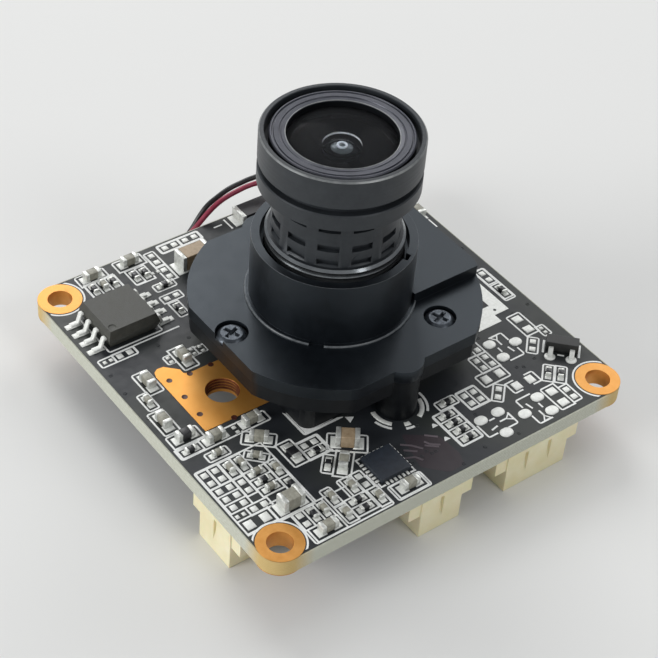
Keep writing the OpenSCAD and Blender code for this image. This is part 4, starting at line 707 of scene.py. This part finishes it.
tracks = {
    "radius": 0.11,  # mm
    "routes": [
        [(-2.52, -13.81), (-1.77, -14.43), (-1.17, -15.21)], [(-2.69, -14.48), (-1.77, -15.21)],
        [(-3.21, -15.23), (-2.36, -15.61), (-1.99, -16.24)], [(-0.13, -14.05), (0.73, -14.82)],
        [(-0.59, -14.63), (-0.39, -15.1), (0.32, -15.66)], [(-0.85, -14.99), (0.09, -15.77)],
    ],
    "vias": [
        (-1.13, -15.59), (-0.86, -16.02), (-0.46, -16.02), (-1.8, -15.84), (-2.87, -14.89),
        (-2.94, -16.04), (0.1, -12.86), (0.58, -18.4), (-18.34, 6.14), (-18.43, 3.65), (-18.39, 0.1),
        (11.5, -7.3), (11.93, -12.02), (12.5, -12.3), (14.02, -11.98), (5.1, -14.5), (6.75, -18.25),
        (3.3, -17.9), (15.6, -16.4), (16.3, -6.4), (13.4, -5.6), (-12.9, 7.2), (-10.1, 6.6),
        (-15.6, 14.9), (-11.3, 13.3), (-3.3, -16.6), (15.7, 0.6), (14.3, 5.8), (18.3, 3.2), (18.3, -6.2),
    ],
    "sunk": 0.02,  # mm from the face of the mask down to the middle of a track
    "via": {"radius": 0.2, "taper": 0.6, "depth": 0.05, "segments": 14, "rim": 0.04, "dimple": 0.04},
    "viaLift": 0.01,  # mm from the face of the mask up to the middle of a bump
    # the field's underside below the face of the mask, its thickness and its corners, in mm
    "pourLow": 0.01, "pourThickness": 0.016, "pourCorner": 0.3,
    "pour": [(-1.7, -12.9), (0.9, -14.8), (1.1, -17.2), (0.6, -18.5), (-1, -18.5), (-2.7, -16.7)],
}


def makeTracks():
    curve = bpy.data.curves.new("mask_tracks", "CURVE")
    curve.dimensions = "3D"
    curve.bevel_depth = tracks["radius"] * mm
    curve.bevel_resolution = 2
    curve.use_fill_caps = True
    for route in tracks["routes"]:
        spline = curve.splines.new("POLY")
        spline.points.add(len(route) - 1)
        for point, (x, y) in zip(spline.points, route):
            point.co = (x * mm, y * mm, -tracks["sunk"] * mm, 1)
    curve.materials.append(materials["mask_on_track"])
    placePiece("mask_tracks", curve)


def makeVias():
    # tented vias: low bumps in the mask
    bm = dimpledPlugs(tracks["vias"], tracks["viaLift"] * mm, tracks["via"])
    fromBmesh("tented_vias", bm, "mask")


def makePour():
    # wide copper below the mask, seen as a slightly raised brownish field
    bm = bmesh.new()
    raiseField(bm, tracks["pour"], -tracks["pourLow"] * mm, tracks["pourThickness"] * mm)
    upright = [e for e in bm.edges if e.calc_length() < 0.1 * mm]
    bevelEdges(bm, upright, tracks["pourCorner"] * mm, segments=4)
    fromBmesh("copper_field", bm, "mask", finishName="mask_on_copper")


# the bare copper round a screw hole, and the print beside the mount

copper = {  # mm
    "hole": (-11.3, -0.45), "holeRadius": 1.5, "holeSteps": 48,
    # ridges of its wall: pitch, crest inside and root outside the radius, first one below the face
    "ridge": {"pitch": 0.32, "in": 0.1, "out": 0.02, "start": 0.05},
    "vias": [(-14.47, 2.94), (-14.45, 0.58), (-14.5, -1.83), (-12.54, 2.72), (-10.4, 2.7),
             (-12.3, -3.7)],
    "via": {"radius": 0.29, "taper": 0.85, "depth": 0.03, "segments": 20, "rim": 0.05,
            "dimple": 0.008},
    "bracket": [(-8.34, -5.6), (-8.36, -8.46), (-5.08, -8.28), (-5.52, -8.02), (-7.3, -7.75),
                (-7.75, -7.17)],
    "tab": [(-4.45, -8.7), (-4.45, -9.5), (-3.78, -9.1)],
    "ink": 0.028,  # thickness of the print
}


def makeCopperVias():
    # plated holes in the copper, filled with brown resin a little below the face
    bm = dimpledPlugs(copper["vias"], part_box("copper_patch")[1][2], copper["via"])
    fromBmesh("copper_vias", bm, "bare_copper", finishName="via_brown")


def makeHoleThread():
    # the screw hole's wall: fine ridges, spun round its axis
    x, y = copper["hole"]
    ridge = copper["ridge"]
    outer, pitch = copper["holeRadius"] * mm, ridge["pitch"] * mm
    root, crest = x * mm + outer + ridge["out"] * mm, x * mm + outer - ridge["in"] * mm
    low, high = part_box("circuit_board")[0][2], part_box("copper_patch")[1][2]
    bm = bmesh.new()
    height, points = high - ridge["start"] * mm, []
    while height > low + pitch:
        points += [bm.verts.new((root, y * mm, height)), bm.verts.new((crest, y * mm, height - pitch / 2))]
        height -= pitch
    points.append(bm.verts.new((root, y * mm, height)))
    edges = [bm.edges.new(pair) for pair in zip(points, points[1:])]
    spinRound(bm, points + edges, copper["holeSteps"], (x * mm, y * mm, 0))
    bmesh.ops.reverse_faces(bm, faces=bm.faces)
    fromBmesh("hole_thread", bm, "bare_copper", smoothUnder=80, finishName="brown_copper")


def makeBracketPrint():
    # the printed field under the edge of the mount
    bm = bmesh.new()
    for outline in (copper["bracket"], copper["tab"]):
        raiseField(bm, outline, 0, copper["ink"] * mm)
    fromBmesh("bracket_print", bm, "legend")


makeTracks()
makeVias()
makePour()
makeCopperVias()
makeHoleThread()
makeBracketPrint()
print("tracks made")


# painted highlights and reflections inside the lens

lens = {
    "seat": lensTop - 2.15 * mm,  # lower face of the front glass
    "backDepth": 0.02 * mm,  # faces within this of the seat belong to its back
    "backLean": 0.95, "rimLean": 0.2,  # least downward lean of the back, most lean of the rim
    "bowl": 1.6 * mm,  # radius of the hollow under the front glass
    "seen": lensTop - 1.52 * mm,  # height at which the hollow shows through the glass
    "bowlWall": {"thick": 0.02 * mm, "half": 0.1 * mm},  # the wall that carries its painted highlight: thickness, half its height
    "stop": {"radius": 0.37 * mm, "tube": 0.1 * mm},  # painted reflection: a bright ring in the middle of the hollow, standing in for a lamp seen in the glass
    # painted highlight: a bright line in the opening of the retaining ring
    "window": {"radius": 4.64 * mm, "tube": 0.045 * mm, "height": lensTop - 0.3 * mm},
    "cap": {"radius": 0.92 * mm, "curve": 1.8 * mm, "height": lensTop - 1.5 * mm, "segments": 48},
    "steps": 72,  # of a full turn
    "tubeSides": 8,
}


def makeBowlRim():
    # a low wall round the hollow: its white inside is a painted highlight, and its black outside hides it on
    # the near side
    bm = bmesh.new()
    inner, outer = lens["bowl"], lens["bowl"] + lens["bowlWall"]["thick"]
    low, high = lens["seen"] - lens["bowlWall"]["half"], lens["seen"] + lens["bowlWall"]["half"]
    places = ((inner, 0, low), (outer, 0, low), (outer, 0, high), (inner, 0, high))
    corners = [bm.verts.new(place) for place in places]
    section = [bm.edges.new((corners[i - 1], corners[i])) for i in range(4)]
    spinRound(bm, corners + section, lens["steps"])
    piece = fromBmesh("bowl_rim", bm, "lens_inner_black", body="lens", smoothUnder=30)
    piece.data.materials.append(materials["glass_painted_glint"])
    for face in piece.data.polygons:
        if face.normal.x * face.center.x + face.normal.y * face.center.y < 0:
            face.material_index = 1


def makeLensRing(name, ring, height, finishName):
    # a thin torus round the lens axis
    bm = bmesh.new()
    section = bmesh.ops.create_circle(bm, segments=lens["tubeSides"], radius=ring["tube"])
    bmesh.ops.rotate(bm, verts=section["verts"], matrix=Matrix.Rotation(math.radians(90), 3, "X"))
    bmesh.ops.translate(bm, verts=section["verts"], vec=(ring["radius"], 0, height))
    spinRound(bm, bm.verts[:] + bm.edges[:], lens["steps"])
    fromBmesh(name, bm, "lens_inner_black", body="lens", smoothUnder=80, finishName=finishName)


def inkFrontGlass():
    # the dome and the hollow stay clear, the ground back and rim are inked
    bm = mergedCopy("front_element")
    piece = fromBmesh("front_glass", bm, "front_glass", body="lens")
    piece.data.materials.append(materials["glass_ink"])
    for face in piece.data.polygons:
        back = face.normal.z < -lens["backLean"] and face.center.z < lens["seat"] + lens["backDepth"]
        if back or abs(face.normal.z) < lens["rimLean"]:
            face.material_index = 1
    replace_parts(piece, "front_element")


def makeInnerCap():
    # the polished front of the next glass, seen through the hollow, as an opaque cap whose grey-green is a
    # painted reflection
    cap = lens["cap"]
    bm = bmesh.new()
    bmesh.ops.create_uvsphere(bm, u_segments=cap["segments"], v_segments=cap["segments"],
                              radius=cap["curve"])
    rim = cap["curve"] ** 2 - cap["radius"] ** 2
    bmesh.ops.bisect_plane(bm, geom=bm.verts[:] + bm.edges[:] + bm.faces[:], plane_co=(0, 0, rim ** 0.5),
                           plane_no=(0, 0, 1), clear_inner=True)
    bmesh.ops.holes_fill(bm, edges=bm.edges, sides=0)
    bmesh.ops.translate(bm, verts=bm.verts, vec=(0, 0, cap["height"] - cap["curve"]))
    bmesh.ops.recalc_face_normals(bm, faces=bm.faces)
    fromBmesh("inner_cap", bm, "lens_inner_black", body="lens", finishName="inner_glass_painted_reflection")


inkFrontGlass()
makeBowlRim()
# painted reflection: a white ring in the middle of the hollow
makeLensRing("painted_reflection_ring", lens["stop"], lens["seen"], "glass_painted_glint")
# painted highlight: a pale line round the opening of the retaining ring
makeLensRing("window_painted_highlight", lens["window"], lens["window"]["height"], "lens_painted_highlight")
makeInnerCap()
print("lens rings made")


# floor, light and background

light = {
    "floor": 1.5, "paper": "#e8e8e6",  # metres from the middle to the edge, and its colour
    # softboxes: width and place in metres, power in watts
    "back": {"size": 0.42, "power": 2.1, "place": (0.17, 0.58, 0.44)},
    "right": {"size": 0.4, "power": 1.2, "place": (0.56, 0.26, 0.42)},
    "left": {"size": 0.35, "power": 2.4, "place": (-0.62, 0.12, 0.24)},
    "front": {"size": 0.2, "power": 0.6, "place": (0.1, -0.52, 0.46)},
    "world": 0.42, "sky": "#f2f4f7",  # strength and colour of the light from all round
}


def makeFloor():
    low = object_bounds()[0]
    bm = bmesh.new()
    bmesh.ops.create_grid(bm, x_segments=1, y_segments=1, size=light["floor"])
    bmesh.ops.translate(bm, verts=bm.verts, vec=(0, 0, low[2]))
    mesh = bpy.data.meshes.new("floor")
    bm.to_mesh(mesh)
    bm.free()
    floor = addObject("floor", mesh)
    material = newMaterial("white studio paper")
    addSurface(material, {"Base Color": colour(light["paper"]), "Roughness": 0.9,
                          "Specular IOR Level": 0.2})
    mesh.materials.append(material)


def areaLight(name, spec):
    data = bpy.data.lights.new(name, "AREA")
    data.shape = "DISK"
    data.size = spec["size"]
    data.energy = spec["power"]
    lamp = addObject(name, data)
    lamp.location = spec["place"]
    lamp.rotation_euler = Vector(spec["place"]).to_track_quat("Z", "Y").to_euler()


def makeWorld():
    world = bpy.data.worlds.new("studio")
    world.use_nodes = True
    tree = world.node_tree
    tree.nodes["Background"].inputs["Color"].default_value = colour(light["sky"])
    tree.nodes["Background"].inputs["Strength"].default_value = light["world"]
    bpy.context.scene.world = world


makeFloor()
for lampName in ("back", "right", "left", "front"):
    areaLight(lampName, light[lampName])
makeWorld()
bpy.context.scene.view_settings.view_transform = "Standard"
print("studio set")
